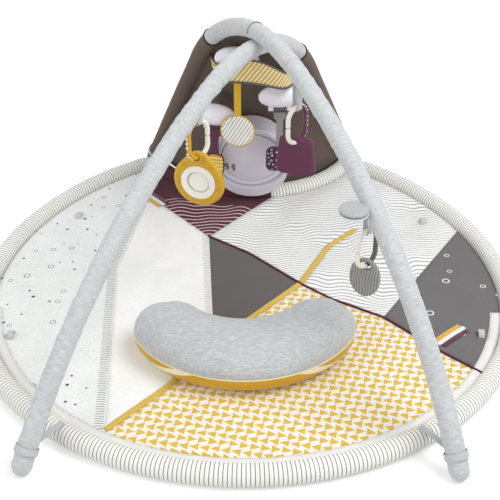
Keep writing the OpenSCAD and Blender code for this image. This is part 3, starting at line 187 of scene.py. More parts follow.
class Bow:
    """One arch: a straight rear leg, a tight crown and a long front curve."""

    def __init__(self, i):
        self.side = 1 if i == 0 else -1
        self.turn = math.atan2(FOOT_SPAN[1], self.side * FOOT_SPAN[0])
        self.crown = np.array([CROWN_U, CROWN_H + self.side * CROSSING_GAP / 2 - CROWN_R])
        rear = self.crown - [0, FOOT_Z]
        reach = math.hypot(*rear)
        self.rise = math.atan2(rear[1], rear[0]) + math.asin(CROWN_R / reach)
        self.rear_len = math.sqrt(reach**2 - CROWN_R**2)
        out = np.array([math.sin(CROWN_TURN), math.cos(CROWN_TURN)])
        self.start = self.crown + CROWN_R * out
        chord = np.array([ARCH_RUN, FOOT_Z]) - self.start
        self.front_r = chord @ chord / (-2 * chord @ out)
        self.front = self.start - self.front_r * out
        self.end = math.atan2(ARCH_RUN - self.front[0], FOOT_Z - self.front[1])
        self.rear_u = self.rear_len * math.cos(self.rise)

    def height(self, u):
        if u < self.rear_u:
            return FOOT_Z + u * math.tan(self.rise)
        if u < self.start[0]:
            return self.crown[1] + math.sqrt(CROWN_R**2 - (u - CROWN_U) ** 2)
        return self.front[1] + math.sqrt(self.front_r**2 - (u - self.front[0]) ** 2)

    def slope(self, u):
        if u < self.rear_u:
            return self.rise
        if u < self.start[0]:
            return -math.asin((u - CROWN_U) / CROWN_R)
        return -math.asin((u - self.front[0]) / self.front_r)

    def room(self, u, w):
        c, s, k = math.cos(self.turn), math.sin(self.turn), math.sin(ARCH_LEAN)
        return np.array([-self.side * BACK_FOOT[0] + u * c - w * k * s,
            BACK_FOOT[1] + u * s + w * k * c, w * math.cos(ARCH_LEAN)])

    def point(self, u):
        return self.room(u, self.height(u))

    def rear_line(self, n):
        return np.array([self.room(t * math.cos(self.rise), FOOT_Z + t * math.sin(self.rise))
            for t in np.linspace(0, self.rear_len, n)])

    def crown_line(self, a, b, n):
        return np.array([self.room(self.crown[0] + CROWN_R * math.sin(t),
            self.crown[1] + CROWN_R * math.cos(t)) for t in np.linspace(a, b, n)])

    def front_line(self, n):
        return np.array([self.room(self.front[0] + self.front_r * math.sin(t),
            self.front[1] + self.front_r * math.cos(t)) for t in np.linspace(CROWN_TURN, self.end, n)])


BOWS = (Bow(0), Bow(1))
CROSS_T = math.asin((CROSS_U - CROWN_U) / CROWN_R)
CROSS_W = (BOWS[0].height(CROSS_U) + BOWS[1].height(CROSS_U)) / 2
CROSS_TILT = math.atan(math.tan(-CROSS_T) / -math.sin(BOWS[0].turn))
CROSS_AT = np.array([-CROSS_W * math.sin(ARCH_LEAN) / math.sin(BOWS[0].turn),
    BACK_FOOT[1] + CROSS_U * math.sin(BOWS[0].turn), CROSS_W * math.cos(ARCH_LEAN)])
CROSS_UP = np.array([0, math.sin(CROSS_TILT), math.cos(CROSS_TILT)])


def panel_edge(i, s):
    """A point of a rear leg's middle line, from the backdrop's lowest row to its top."""
    return BOWS[i].point(PANEL_LOW_U + s * (PANEL_HIGH_U - PANEL_LOW_U))


def panel_mid(s, v):
    """A point of the backdrop: s up from its lowest row, v from -1 to 1 across."""
    a, b = panel_edge(0, s), panel_edge(1, s)
    belly = PANEL_BELLY * max(0.0, 1 - s) ** BELLY_POWER * (1 - v * v)
    return (a + b) / 2 + v * (b - a) / 2 - np.array([0, belly, 0])


def panel_reach(s, clear=2.4):
    """How far across the backdrop's width a cloth ends when it stays clear of the sleeves."""
    half = np.linalg.norm(panel_edge(1, s) - panel_edge(0, s)) / 2
    u = PANEL_LOW_U + s * (PANEL_HIGH_U - PANEL_LOW_U)
    slant = math.sqrt(1 - (math.cos(BOWS[0].turn) * math.cos(BOWS[0].slope(u))) ** 2)
    return 1 - (SLEEVE_R + clear) / (half * slant)


def pod_room(k, p):
    """A point given across, out of and up the face of a pod, in the room."""
    s, v = POD_AT[k]
    a, b = panel_mid(s, v - 0.02), panel_mid(s, v + 0.02)
    yaw = math.atan2(b[1] - a[1], b[0] - a[0])
    y = p[1] * math.cos(POD_LEAN) - p[2] * math.sin(POD_LEAN)
    z = p[1] * math.sin(POD_LEAN) + p[2] * math.cos(POD_LEAN)
    c, n = math.cos(yaw), math.sin(yaw)
    return panel_mid(s, v) + np.array([p[0] * c - y * n, p[0] * n + y * c, z]), yaw


def hang_point(h):
    """The middle of the loop that a toy hangs from."""
    bow = BOWS[h[0]]
    return bow.point(h[1]) - np.array([0, 0, SLEEVE_R / math.cos(bow.slope(h[1])) + h[2]])


def hoop(bow, u, r, turn, back=0.0):
    """Points round an arch's middle line, with the arch's way there and a level way across it."""
    along = unit(bow.point(u + 0.5) - bow.point(u - back))
    a = unit(np.cross(along, (0, 0, 1)))
    b = np.cross(a, along)
    return bow.point(u) + r * (np.cos(turn)[:, None] * a + np.sin(turn)[:, None] * b), along, a


# Mesh making
def piece(name, made, materials, body="gym", marks=None, replaces=()):
    """A new mesh object from points in millimetres, faces and perhaps UVs, riding on a frame body."""
    points, faces, *uv = made
    mesh = bpy.data.meshes.new(name)
    mesh.from_pydata([tuple(float(c) * MM for c in p) for p in points], [],
        [tuple(map(int, f)) for f in faces])
    for m in materials if isinstance(materials, (list, tuple)) else [materials]:
        mesh.materials.append(m)
    if marks is not None:
        mesh.polygons.foreach_set("material_index", np.asarray(marks, np.int32))
    if uv:
        layer = mesh.uv_layers.new(name="Length")
        layer.data.foreach_set("uv", np.asarray(uv[0], np.float32).ravel())
    mesh.polygons.foreach_set("use_smooth", [True] * len(mesh.polygons))
    mesh.validate()
    mesh.update()
    obj = bpy.data.objects.new(name, mesh)
    bpy.context.scene.collection.objects.link(obj)
    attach(obj, body)
    if replaces:
        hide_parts(*replaces)
    return obj


def unit(v):
    """Vectors scaled to a length of one."""
    return v / np.linalg.norm(v, axis=-1, keepdims=True)


def frames_along(path, closed=False, up=(0, 0, 1)):
    """Tangents and two steady normals along a line of points."""
    n = len(path)
    if closed:
        tangent = unit(np.roll(path, -1, 0) - np.roll(path, 1, 0))
    else:
        tangent = unit(np.gradient(path, axis=0))
    normal = np.zeros_like(path)
    first = np.cross(np.cross(tangent[0], np.array(up, float)), tangent[0])
    if np.linalg.norm(first) < 1e-6:
        first = np.cross(np.cross(tangent[0], (0, 1, 0)), tangent[0])
    normal[0] = unit(first)
    for k in range(1, n):
        v = normal[k - 1] - tangent[k] * (normal[k - 1] @ tangent[k])
        normal[k] = unit(v)
    return tangent, normal, np.cross(tangent, normal)


def lengths(path):
    """How far along a line each of its points lies."""
    return np.concatenate([[0], np.cumsum(np.linalg.norm(np.diff(path, axis=0), axis=1))])


def sweep(path, section, closed=False, up=(0, 0, 1)):
    """Points, faces and lengthwise UVs of a closed section swept along a path.

    section is an array of (across, out) points, or one such array for each point of the path."""
    _, normal, side = frames_along(path, closed, up)
    n = len(path)
    sections = np.asarray(section, float)
    if sections.ndim == 2:
        sections = np.repeat(sections[None], n, 0)
    m = sections.shape[1]
    points = path[:, None] + sections[:, :, :1] * side[:, None] + sections[:, :, 1:] * normal[:, None]
    long = lengths(np.vstack([path, path[:1]]) if closed else path)
    girth = lengths(np.vstack([sections[0], sections[0][:1]]))
    faces, uv = [], []
    for k in range(n if closed else n - 1):
        for j in range(m):
            a, b = k * m + j, k * m + (j + 1) % m
            c, d = ((k + 1) % n) * m + (j + 1) % m, ((k + 1) % n) * m + j
            faces.append((a, b, c, d))
            uv += [(long[k], girth[j]), (long[k], girth[j + 1]), (long[k + 1], girth[j + 1]),
                (long[k + 1], girth[j])]
    if not closed:
        faces += [tuple(range(m))[::-1], tuple((n - 1) * m + j for j in range(m))]
        uv += [(long[0], girth[j]) for j in range(m)][::-1] + [(long[-1], girth[j]) for j in range(m)]
    return points.reshape(-1, 3), faces, np.array(uv) * MM


def round_section(r, sides):
    """Section of a cord or a tube."""
    a = np.linspace(0, math.tau, sides, endpoint=False)
    return np.column_stack([np.cos(a) * r, np.sin(a) * r])


def flat_section(w, t):
    """Section of a webbing or ribbon with soft edges."""
    e = min(t / 2, w / 4)
    pts = []
    for cx, a0 in ((w / 2 - e, -90), (-w / 2 + e, 90)):
        for a in np.radians(np.linspace(a0, a0 + 180, 5)):
            pts.append((cx + e * math.cos(a), t / 2 * math.sin(a)))
    return np.array(pts)


def join(parts):
    """One mesh from several (points, faces, uv)."""
    points, faces, uvs, base = [], [], [], 0
    for p, f, u in parts:
        points.append(np.asarray(p))
        faces += [tuple(i + base for i in face) for face in f]
        uvs.append(np.asarray(u).reshape(-1, 2))
        base += len(p)
    return np.vstack(points), faces, np.vstack(uvs)


def outline_of(node):
    """Closed outlines, in millimetres, of the level top of a frame node."""
    bm = bmesh.new()
    bm.from_mesh(NODES[node].data)
    bmesh.ops.remove_doubles(bm, verts=bm.verts, dist=1e-6)
    bm.normal_update()
    top = max(v.co.z for v in bm.verts)
    level = [f for f in bm.faces if f.normal.z > 0.9 and f.calc_center_median().z > top - 1e-4]
    on_top = set(level)
    after = {}
    for f in level:
        for loop in f.loops:
            if sum(g in on_top for g in loop.edge.link_faces) == 1:
                after.setdefault(loop.vert.index, []).append(loop.link_loop_next.vert.index)
    where = {v.index: np.array(v.co[:2]) / MM for v in bm.verts}
    bm.free()
    loops = []
    while after:
        start = k = next(iter(after))
        ring = []
        while k in after:
            ring.append(where[k])
            nexts = after[k]
            following = nexts.pop()
            if not nexts:
                del after[k]
            k = following
            if k == start:
                break
        if len(ring) > 2:
            loops.append(np.array(ring))
    return loops


def split_long(loop, step):
    """A closed outline with its sides cut into lengths near a step."""
    out = []
    for a, b in zip(loop, np.roll(loop, -1, 0)):
        n = max(1, int(round(np.linalg.norm(b - a) / step)))
        out += [a + (b - a) * k / n for k in range(n)]
    return np.array(out)


def inside(points, loops):
    """Which points lie inside closed outlines."""
    hit = np.zeros(len(points), bool)
    x, y = points[:, 0], points[:, 1]
    for loop in loops:
        for a, b in zip(loop, np.roll(loop, -1, 0)):
            if a[1] == b[1]:
                continue
            crosses = (a[1] > y) != (b[1] > y)
            hit ^= crosses & (x < (b[0] - a[0]) * (y - a[1]) / (b[1] - a[1]) + a[0])
    return hit


def filled(loops, step):
    """Triangles that fill outlines, with the distance of each point from the edge."""
    loops = [split_long(loop, step * 0.7) for loop in loops]
    edge = np.vstack(loops)
    low, high = edge.min(0), edge.max(0)
    grid = []
    for r, y in enumerate(np.arange(low[1], high[1], step * 0.866)):
        xs = np.arange(low[0] + (r % 2) * step / 2, high[0], step)
        grid.append(np.column_stack([xs, np.full(len(xs), y)]))
    grid = np.vstack(grid)
    grid = grid[inside(grid, loops)]
    tree = KDTree(len(edge))
    for k, p in enumerate(edge):
        tree.insert((p[0], p[1], 0), k)
    tree.balance()
    far = np.array([tree.find((p[0], p[1], 0))[2] for p in grid]) if len(grid) else np.zeros(0)
    grid = grid[far > 0.55 * step]
    points = np.vstack([edge, grid])
    segments, base = [], 0
    for loop in loops:
        n = len(loop)
        segments += [(base + k, base + (k + 1) % n) for k in range(n)]
        base += n
    made, _, faces, _, _, _ = delaunay_2d_cdt([Vector(p) for p in points], segments, [], 1, 1e-4)
    made = np.array([tuple(p) for p in made])
    faces = [tuple(f) for f in faces]
    keep = inside(np.array([made[list(f)].mean(0) for f in faces]), loops)
    faces = [f for f, k in zip(faces, keep) if k]
    depth = np.array([tree.find((p[0], p[1], 0))[2] for p in made])
    return made, faces, depth


def rim_edges(faces):
    """The open edges of a set of faces, each in the order of its face."""
    pairs = {(a, b) for f in faces for a, b in zip(f, f[1:] + f[:1])}
    return [(a, b) for a, b in pairs if (b, a) not in pairs]


def closed_sheet(front, back, faces):
    """Points and faces of a sheet's two sides, with their edges joined."""
    n = len(front)
    turned = [tuple(n + k for k in reversed(f)) for f in faces]
    edges = [(b, a, n + a, n + b) for a, b in rim_edges(faces)]
    return np.vstack([front, back]), faces + turned + edges


def grid_quads(rows, cols):
    """Faces of a grid of points that is numbered row by row."""
    at = np.arange((rows + 1) * (cols + 1)).reshape(rows + 1, cols + 1)
    return [(at[r, k], at[r, k + 1], at[r + 1, k + 1], at[r + 1, k]) for r in range(rows)
        for k in range(cols)]


def ruffle(p, size):
    """Smooth noise from -1 to 1 whose swells have about a size in millimetres."""
    return noise.noise(Vector((p[0] / size, p[1] / size, p[2] / size)))


def quilted(name, node, material, top, depth, sink, wave=None, step=None):
    """A quilted panel over a level frame node: drawn down along its edges, softly uneven between."""
    flat, faces, far = filled(outline_of(node), step or sizes().mesh_step / MM)
    z = top - sink * np.exp(-far / 7.0)
    for k, p in enumerate(flat):
        z[k] += min(1.0, far[k] / 12) * 0.55 * ruffle((p[0], p[1], 3.1), 38)
        if wave:
            z[k] += wave(p, far[k])
    points = np.column_stack([flat, z])
    n = len(points)
    skirt = {}
    low = []
    sides = []
    for a, b in rim_edges(faces):
        for k in (a, b):
            if k not in skirt:
                skirt[k] = n + len(low)
                low.append((flat[k][0], flat[k][1], top - depth))
        sides.append((b, a, skirt[a], skirt[b]))
    return piece(name, (np.vstack([points, low]), faces + sides), material, replaces=[node])


def stuffed(name, loops, thick, edge, matrix, material, body, replaces):
    """A stuffed flat shape: crowned on both faces, unevenly, and drawn in to a seam at its edge."""
    flat, faces, far = filled(loops, STUFFED_STEP)
    t = np.clip(far / edge, 0, 1)
    h = thick / 2 * np.sqrt(np.maximum(0, 1 - (1 - t) ** 2))
    for k, p in enumerate(flat):
        h[k] *= 1 + 0.25 * t[k] * ruffle((p[0], p[1], 7.7), 11)
    n = len(flat)
    rim = far < 1e-3
    back = np.where(rim, np.arange(n), n + np.arange(n))
    local = np.vstack([np.column_stack([flat, h]), np.column_stack([flat, -h])])
    both = faces + [tuple(int(back[k]) for k in reversed(f)) for f in faces]
    return piece(name, (np.array([matrix @ Vector(p) for p in local]), both), material, body,
        replaces=replaces)


def stood(at, yaw):
    """The place of a flat shape stood on its edge: its X level, its Y up, turned about the room's Z."""
    upright = Matrix.Rotation(math.pi / 2, 4, "X")
    return Matrix.Translation(Vector(at)) @ Matrix.Rotation(yaw, 4, "Z") @ upright


def puffed(obj, held, pressure, spare, most):
    """Blows a cut cloth up from inside with its seam held, each point within a distance of its place."""
    seam = obj.vertex_groups.new(name="seam")
    seam.add([int(k) for k in held], 1.0, "REPLACE")
    stuffing = obj.modifiers.new("stuffing", "CLOTH")
    weave = stuffing.settings
    weave.quality = 6
    weave.mass = 0.15
    weave.tension_stiffness = weave.compression_stiffness = 18
    weave.shear_stiffness = 6
    weave.bending_stiffness = 0.25
    weave.shrink_min = -spare
    weave.use_pressure = True
    weave.uniform_pressure_force = pressure
    weave.vertex_group_mass = seam.name
    weave.effector_weights.gravity = 0
    stuffing.point_cache.frame_start, stuffing.point_cache.frame_end = 1, PUFF_FRAMES
    scene = bpy.context.scene
    for now in range(1, PUFF_FRAMES + 1):
        scene.frame_set(now)
    made = obj.evaluated_get(bpy.context.evaluated_depsgraph_get()).to_mesh()
    n = len(obj.data.vertices)
    before, after = np.empty(n * 3), np.empty(n * 3)
    obj.data.vertices.foreach_get("co", before)
    made.vertices.foreach_get("co", after)
    move = (after - before).reshape(-1, 3)
    pairs = np.array([e.vertices[:] for e in obj.data.edges])
    pairs = np.vstack([pairs, pairs[:, ::-1]])
    free = np.ones(n, bool)
    free[list(held)] = False
    count = np.bincount(pairs[:, 0], minlength=n)[:, None]
    for _ in range(12):
        # Evens out the creases that the held points leave round them
        mean = np.zeros((n, 3))
        np.add.at(mean, pairs[:, 0], move[pairs[:, 1]])
        move[free] = (0.5 * move + 0.5 * mean / count)[free]
    far = np.maximum(np.linalg.norm(move, axis=1, keepdims=True), 1e-9)
    obj.modifiers.remove(stuffing)
    obj.vertex_groups.remove(seam)
    obj.data.vertices.foreach_set("co", before + (move * np.minimum(1, most * MM / far)).ravel())
    obj.data.update()
    scene.frame_set(1)


def lathe(profile):
    """Points and faces of a profile of (radius, height) turned about Z."""
    a = np.linspace(0, math.tau, LATHE_SIDES, endpoint=False)
    points = np.array([(r * math.cos(t), r * math.sin(t), z) for r, z in profile for t in a])
    faces = []
    for k in range(len(profile) - 1):
        row, above = k * LATHE_SIDES, (k + 1) * LATHE_SIDES
        for j in range(LATHE_SIDES):
            after = (j + 1) % LATHE_SIDES
            faces.append((row + j, row + after, above + after, above + j))
    faces += [tuple(range(LATHE_SIDES))[::-1], tuple(range(len(points) - LATHE_SIDES, len(points)))]
    return points, faces


# Materials
def add_node(tree, kind, inputs=(), out=0, **settings):
    """Adds a node, sets it up, links or fills its inputs and returns one of its outputs.

    A kind in capitals is an operation of the Math node."""
    node = tree.nodes.new("ShaderNodeMath" if kind.isupper() else "ShaderNode" + kind)
    if kind.isupper():
        node.operation = kind
    for key, value in settings.items():
        setattr(node, key, value)
    for key, value in inputs.items() if isinstance(inputs, dict) else enumerate(inputs):
        if isinstance(value, bpy.types.NodeSocket):
            tree.links.new(value, node.inputs[key])
        elif value is not None:
            node.inputs[key].default_value = value
    return node.outputs[out]


def start_material(name):
    """A new material with its node tree and its shader."""
    mat = bpy.data.materials.new(name)
    mat.use_nodes = True
    return mat, mat.node_tree, mat.node_tree.nodes["Principled BSDF"]


def millimetres(tree, output="Object"):
    """Texture coordinates in millimetres, whole and split."""
    where = add_node(tree, "TexCoord", out=output)
    scaled = add_node(tree, "VectorMath", [where, (1000, 1000, 1000)], operation="MULTIPLY")
    split = add_node(tree, "SeparateXYZ", [scaled]).node
    return scaled, split.outputs[0], split.outputs[1], split.outputs[2]


def tint(tree, shader, colour, shade, paint, where):
    """Gives a shader a plain colour, or a print's two colours and their mask, times a grey shade."""
    base = colour
    if paint:
        mask, under, over = paint(tree, *where, colour)
        base = add_node(tree, "Mix", {0: mask, 6: under, 7: over}, out=2, data_type="RGBA")
    grey = add_node(tree, "CombineColor", [shade, shade, shade])
    tinted = add_node(tree, "Mix", {0: 1.0, 6: base, 7: grey}, out=2, data_type="RGBA",
        blend_type="MULTIPLY")
    tree.links.new(tinted, shader.inputs["Base Color"])


def cloth(name, colour, thread=2.4, rough=0.92, sheen=0.25, relief=0.25, heather=0.0, coords="Object",
        paint=None, fibre=(1, 1, 1)):
    """Woven or knitted cloth: matt, with a fine thread relief, flecked fibres and a soft sheen.

    The threads are drawn at 2 mm or more, coarser than the real ones, so that they show."""
    mat, tree, shader = start_material(name)
    where = millimetres(tree, coords)
    scaled = where[0]
    # Flecks about 3 mm across, drawn out along the fibre, and slow clouds of 50 mm
    stretched = add_node(tree, "VectorMath", [scaled, fibre], operation="MULTIPLY")
    fleck = add_node(tree, "TexNoise",
        {"Vector": stretched, "Scale": 0.35, "Detail": 3.0, "Roughness": 0.7})
    cloud = add_node(tree, "TexNoise", {"Vector": scaled, "Scale": 1 / 50, "Detail": 2.0})
    shade = add_node(tree, "MapRange", [fleck, 0.3, 0.7, 1 - 0.06 - heather, 1.0 + 0.04])
    slow = add_node(tree, "MapRange", [cloud, 0.3, 0.7, 0.965, 1.02])
    tint(tree, shader, colour, add_node(tree, "MULTIPLY", [shade, slow]), paint, where)
    shader.inputs["Roughness"].default_value = rough
    shader.inputs["Sheen Weight"].default_value = sheen
    shader.inputs["Sheen Roughness"].default_value = 0.5
    shader.inputs["Specular IOR Level"].default_value = 0.25
    waves = {"Vector": scaled, "Scale": WAVE_PERIOD / thread, "Distortion": 0.6}
    warp, weft = (add_node(tree, "TexWave", waves, bands_direction=way) for way in "XY")
    threads = add_node(tree, "MULTIPLY", [warp, weft])
    height = add_node(tree, "ADD", [threads, fleck])
    bump = add_node(tree, "Bump", {"Strength": relief, "Distance": 0.0006, "Height": height})
    tree.links.new(bump, shader.inputs["Normal"])
    return mat


def plastic(name, colour, rough=0.38, grain=1.6, relief=0.06, coat=0.0, paint=None):
    """Moulded plastic or rubber: satin, with a fine tool grain and slightly uneven gloss.

    The grain is drawn at about a millimetre, coarser than the real one, so that it shows. The shader's own
    IOR, 1.5, is typical of these plastics."""
    mat, tree, shader = start_material(name)
    where = millimetres(tree)
    scaled = where[0]
    fine = add_node(tree, "TexNoise", {"Vector": scaled, "Scale": 1 / grain, "Detail": 2.0})
    broad = add_node(tree, "TexNoise", {"Vector": scaled, "Scale": 1 / 45, "Detail": 1.0})
    shade = add_node(tree, "MapRange", [broad, 0.3, 0.7, 0.97, 1.02])
    tint(tree, shader, colour, shade, paint, where)
    gloss = add_node(tree, "MapRange", [broad, 0.3, 0.7, rough - 0.04, rough + 0.05])
    tree.links.new(gloss, shader.inputs["Roughness"])
    shader.inputs["Coat Weight"].default_value = coat
    bump = add_node(tree, "Bump", {"Strength": relief, "Distance": 0.0003, "Height": fine})
    tree.links.new(bump, shader.inputs["Normal"])
    return mat


def stripe_mask(tree, along, pitch, width):
    """1 on stripes of a width, repeated at a pitch along a coordinate."""
    turns = add_node(tree, "DIVIDE", [along, pitch])
    part = add_node(tree, "FRACT", [turns])
    return add_node(tree, "LESS_THAN", [part, width / pitch])


def wavy_mask(tree, along, across, pitch, width, sway, wave):
    """1 on thin lines that sway as they run."""
    phase = add_node(tree, "MULTIPLY", [along, math.tau / wave])
    swing = add_node(tree, "SINE", [phase])
    slow = add_node(tree, "MULTIPLY", [phase, 0.37])
    drift = add_node(tree, "SINE", [slow])
    both = add_node(tree, "ADD", [swing, drift])
    moved = add_node(tree, "MULTIPLY_ADD", [both, sway, across])
    return stripe_mask(tree, moved, pitch, width)


def scatter_mask(tree, where, cell, dot, ring, line, share):
    """1 on scattered dots and rings, one in some of the cells of an uneven grid."""
    grid = add_node(tree, "TexVoronoi", {"Vector": where, "Scale": 1 / cell, "Randomness": 0.85},
        voronoi_dimensions="2D").node
    near = add_node(tree, "MULTIPLY", [grid.outputs["Distance"], cell])
    kind = add_node(tree, "SeparateColor", [grid.outputs["Color"]]).node
    size = add_node(tree, "MapRange", [kind.outputs[1], 0, 1, 0.6, 1.25])
    off = add_node(tree, "DIVIDE", [near, size])
    dots = add_node(tree, "LESS_THAN", [off, dot])
    rings = add_node(tree, "LESS_THAN",
        [add_node(tree, "ABSOLUTE", [add_node(tree, "SUBTRACT", [off, ring])]), line])
    is_ring = add_node(tree, "LESS_THAN", [kind.outputs[0], 0.36])
    picked = add_node(tree, "Mix", {0: is_ring, 2: dots, 3: rings})
    shown = add_node(tree, "LESS_THAN", [kind.outputs[2], share])
    return add_node(tree, "MULTIPLY", [picked, shown])


def seam_line(tree, y, a, b):
    """The x of a straight seam at a height y of the pattern."""
    k = (b[0] - a[0]) / (b[1] - a[1])
    return add_node(tree, "MULTIPLY_ADD", [y, k, a[0] - k * a[1]])


def tick_band(tree, away, along, low, high, pitch=5.6, width=1.3):
    """1 on short ticks across a band beside a seam."""
    over = add_node(tree, "GREATER_THAN", [away, low])
    under = add_node(tree, "LESS_THAN", [away, high])
    band = add_node(tree, "MULTIPLY", [over, under])
    return add_node(tree, "MULTIPLY", [band, stripe_mask(tree, along, pitch, width)])


def heather_print(tree, where, x, y, z, colour):
    spots = scatter_mask(tree, where, cell=34, dot=2.7, ring=4.6, line=0.62, share=0.62)
    edge = add_node(tree, "MAXIMUM", [seam_line(tree, y, SEAMS["front"], SEAMS["heather"]),
        seam_line(tree, y, SEAMS["heather"], SEAMS["back"])])
    away = add_node(tree, "SUBTRACT", [edge, x])
    near = add_node(tree, "GREATER_THAN", [away, 34])
    spots = add_node(tree, "MULTIPLY", [spots, near])
    both = add_node(tree, "MAXIMUM", [spots, tick_band(tree, away, y, low=3, high=17)])
    return (both, colour, linear("#55565A"))


def white_print(tree, where, x, y, z, colour):
    edge = seam_line(tree, y, SEAMS["tip"], SEAMS["white"])
    away = add_node(tree, "SUBTRACT", [edge, x])
    return (tick_band(tree, away, y, low=2, high=13), colour, linear("#8E8F92"))


def burgundy_print(tree, where, x, y, z, colour):
    lines = wavy_mask(tree, x, y, pitch=12.5, width=3.0, sway=3.2, wave=64)
    low = add_node(tree, "GREATER_THAN", [add_node(tree, "MULTIPLY_ADD", [x, -0.2, 285.0]), y])
    shown = add_node(tree, "MULTIPLY", [lines, low])
    return (shown, colour, linear("#D9BFC6"))


def wave_print(tree, where, x, y, z, colour):
    bend = add_node(tree, "TexNoise", {"Vector": where, "Scale": 0.006, "Detail": 1.0})
    moved = add_node(tree, "MULTIPLY_ADD", [bend, 110.0, y])
    lines = wavy_mask(tree, x, moved, pitch=8.6, width=2.6, sway=1.6, wave=46)
    return (lines, colour, linear("#A6A8AB"))


def triangle_print(tree, where, x, y, z, colour):
    """Rows of small triangles that point right and left in turn."""
    turn = math.radians(-9)
    u = add_node(tree, "MULTIPLY_ADD",
        [y, math.sin(turn) / 16, add_node(tree, "MULTIPLY", [x, math.cos(turn) / 16])])
    v = add_node(tree, "MULTIPLY_ADD",
        [y, math.cos(turn) / 15.5, add_node(tree, "MULTIPLY", [x, -math.sin(turn) / 15.5])])
    jitter = add_node(tree, "TexNoise", {"Vector": where, "Scale": 0.07, "Detail": 1.0})
    v = add_node(tree, "MULTIPLY_ADD", [jitter, 0.34, v])
    row = add_node(tree, "FLOOR", [v])
    odd = add_node(tree, "GREATER_THAN", [add_node(tree, "FLOORED_MODULO", [row, 2]), 0.5])
    shifted = add_node(tree, "MULTIPLY_ADD", [row, 0.37, u])
    along = add_node(tree, "FRACT", [shifted])
    back = add_node(tree, "SUBTRACT", [1.0, along])
    tip = add_node(tree, "Mix", {0: odd, 2: along, 3: back})
    up = add_node(tree, "ABSOLUTE", [add_node(tree, "SUBTRACT", [add_node(tree, "FRACT", [v]), 0.5])])
    reach = add_node(tree, "MULTIPLY", [tip, 0.52])
    slim = add_node(tree, "LESS_THAN", [up, reach])
    full = add_node(tree, "LESS_THAN", [tip, 0.93])
    return (add_node(tree, "MULTIPLY", [slim, full]), linear("#ECE9E0"), colour)


def dotted_print(tree, where, x, y, z, colour):
    spots = scatter_mask(tree, where, cell=52, dot=3.6, ring=6.2, line=1.1, share=0.55)
    return (spots, colour, linear("#F2F2F0"))


def rim_print(tree, where, x, y, z, colour):
    return (stripe_mask(tree, x, pitch=sizes().rim_stripe / MM, width=1.2), colour, linear("#66676A"))


def pelmet_print(tree, where, x, y, z, colour):
    slant = add_node(tree, "MULTIPLY_ADD", [z, -0.75, x])
    return (stripe_mask(tree, slant, pitch=8.5, width=4.4), linear("#E6DDC4"), linear("#CDA53B"))


def tag_stripes(tree, where, x, y, z, colour):
    slant = add_node(tree, "MULTIPLY_ADD", [z, -0.62, x])
    return (stripe_mask(tree, slant, pitch=7.2, width=1.15), colour, linear("#3E3F42"))


def gold_stripes(tree, where, x, y, z, colour):
    return (stripe_mask(tree, z, pitch=7.5, width=3.6), colour, linear("#EFD98E"))


def purple_dots(tree, where, x, y, z, colour):
    upright = add_node(tree, "CombineXYZ", [x, z, 0.0])
    spots = scatter_mask(tree, upright, cell=8.5, dot=1.7, ring=2.4, line=0.4, share=0.85)
    return (spots, colour, linear("#E6DDE6"))


def leaf_print(tree, where, x, y, z, colour):
    lines = wavy_mask(tree, z, x, pitch=4.4, width=1.7, sway=0.8, wave=42)
    return (lines, colour, linear("#A3A3A0"))


def pillow_bands(tree, where, x, y, z, colour):
    """Mustard with a cream band along the foot and one slanting band on each side."""
    side = add_node(tree, "SUBTRACT", [x, 5.0])
    out = add_node(tree, "ABSOLUTE", [side])
    slant = add_node(tree, "MULTIPLY_ADD", [z, 2.6, out])
    near = add_node(tree, "LESS_THAN",
        [add_node(tree, "ABSOLUTE", [add_node(tree, "SUBTRACT", [slant, 236.0])]), 15.0])
    low = add_node(tree, "LESS_THAN", [z, MAT_T + 9.0])
    return (add_node(tree, "MAXIMUM", [near, low]), colour, linear("#F6EAC8"))


def kick_marks(tree, where, x, y, z, colour):
    """Two plain footprints, each a broad and a narrow oval, low on the left of the kick plate."""
    marks = None
    for cx, cz, wide, high in FOOTPRINTS:
        across = add_node(tree, "MULTIPLY_ADD", [x, 1 / wide, -cx / wide])
        up = add_node(tree, "MULTIPLY_ADD", [z, 1 / high, -cz / high])
        square = add_node(tree, "MULTIPLY", [up, up])
        spot = add_node(tree, "LESS_THAN", [add_node(tree, "MULTIPLY_ADD", [across, across, square]), 1.0])
        marks = spot if marks is None else add_node(tree, "MAXIMUM", [marks, spot])
    return (marks, colour, linear("#75737B"))


def strap_ribs(tree, where, x, y, z, colour):
    """Dark ribs across the heads of the right and left straps, each from its own height up."""
    right, left = (pod_room(k, (0, -POD_OFF[k], -HANGER_DROP))[0] for k in (1, 2))
    middle = (right[0] + left[0]) / 2
    is_right = add_node(tree, "GREATER_THAN", [x, middle])
    foot = add_node(tree, "MULTIPLY_ADD", [is_right, right[2] - left[2], left[2] - RIB_H])
    head = add_node(tree, "GREATER_THAN", [z, foot])
    ribs = add_node(tree, "MULTIPLY", [head, stripe_mask(tree, x, pitch=4.4, width=2.4)])
    return (ribs, colour, linear("#2B2829"))


def painted_egg_ring_shade(tree, where, x, y, z, colour):
    """Painted shade: small rings, a little darker, over the face of the egg, drawn in place of the relief
    of its raised rings.
    """
    turn = math.radians(EGG_HANG[3]) + TOY_TURN + math.pi / 2
    across = add_node(tree, "MULTIPLY_ADD",
        [y, math.sin(turn), add_node(tree, "MULTIPLY", [x, math.cos(turn)])])
    face = add_node(tree, "CombineXYZ", [across, z, 0.0])
    rings = scatter_mask(tree, face, cell=11.0, dot=0.0, ring=2.6, line=0.6, share=1.0)
    return (rings, colour, linear("#B48A12"))


def paint_node(node, material):
    """Gives a frame node its finish."""
    data = NODES[node].data
    data.materials.clear()
    data.materials.append(material)


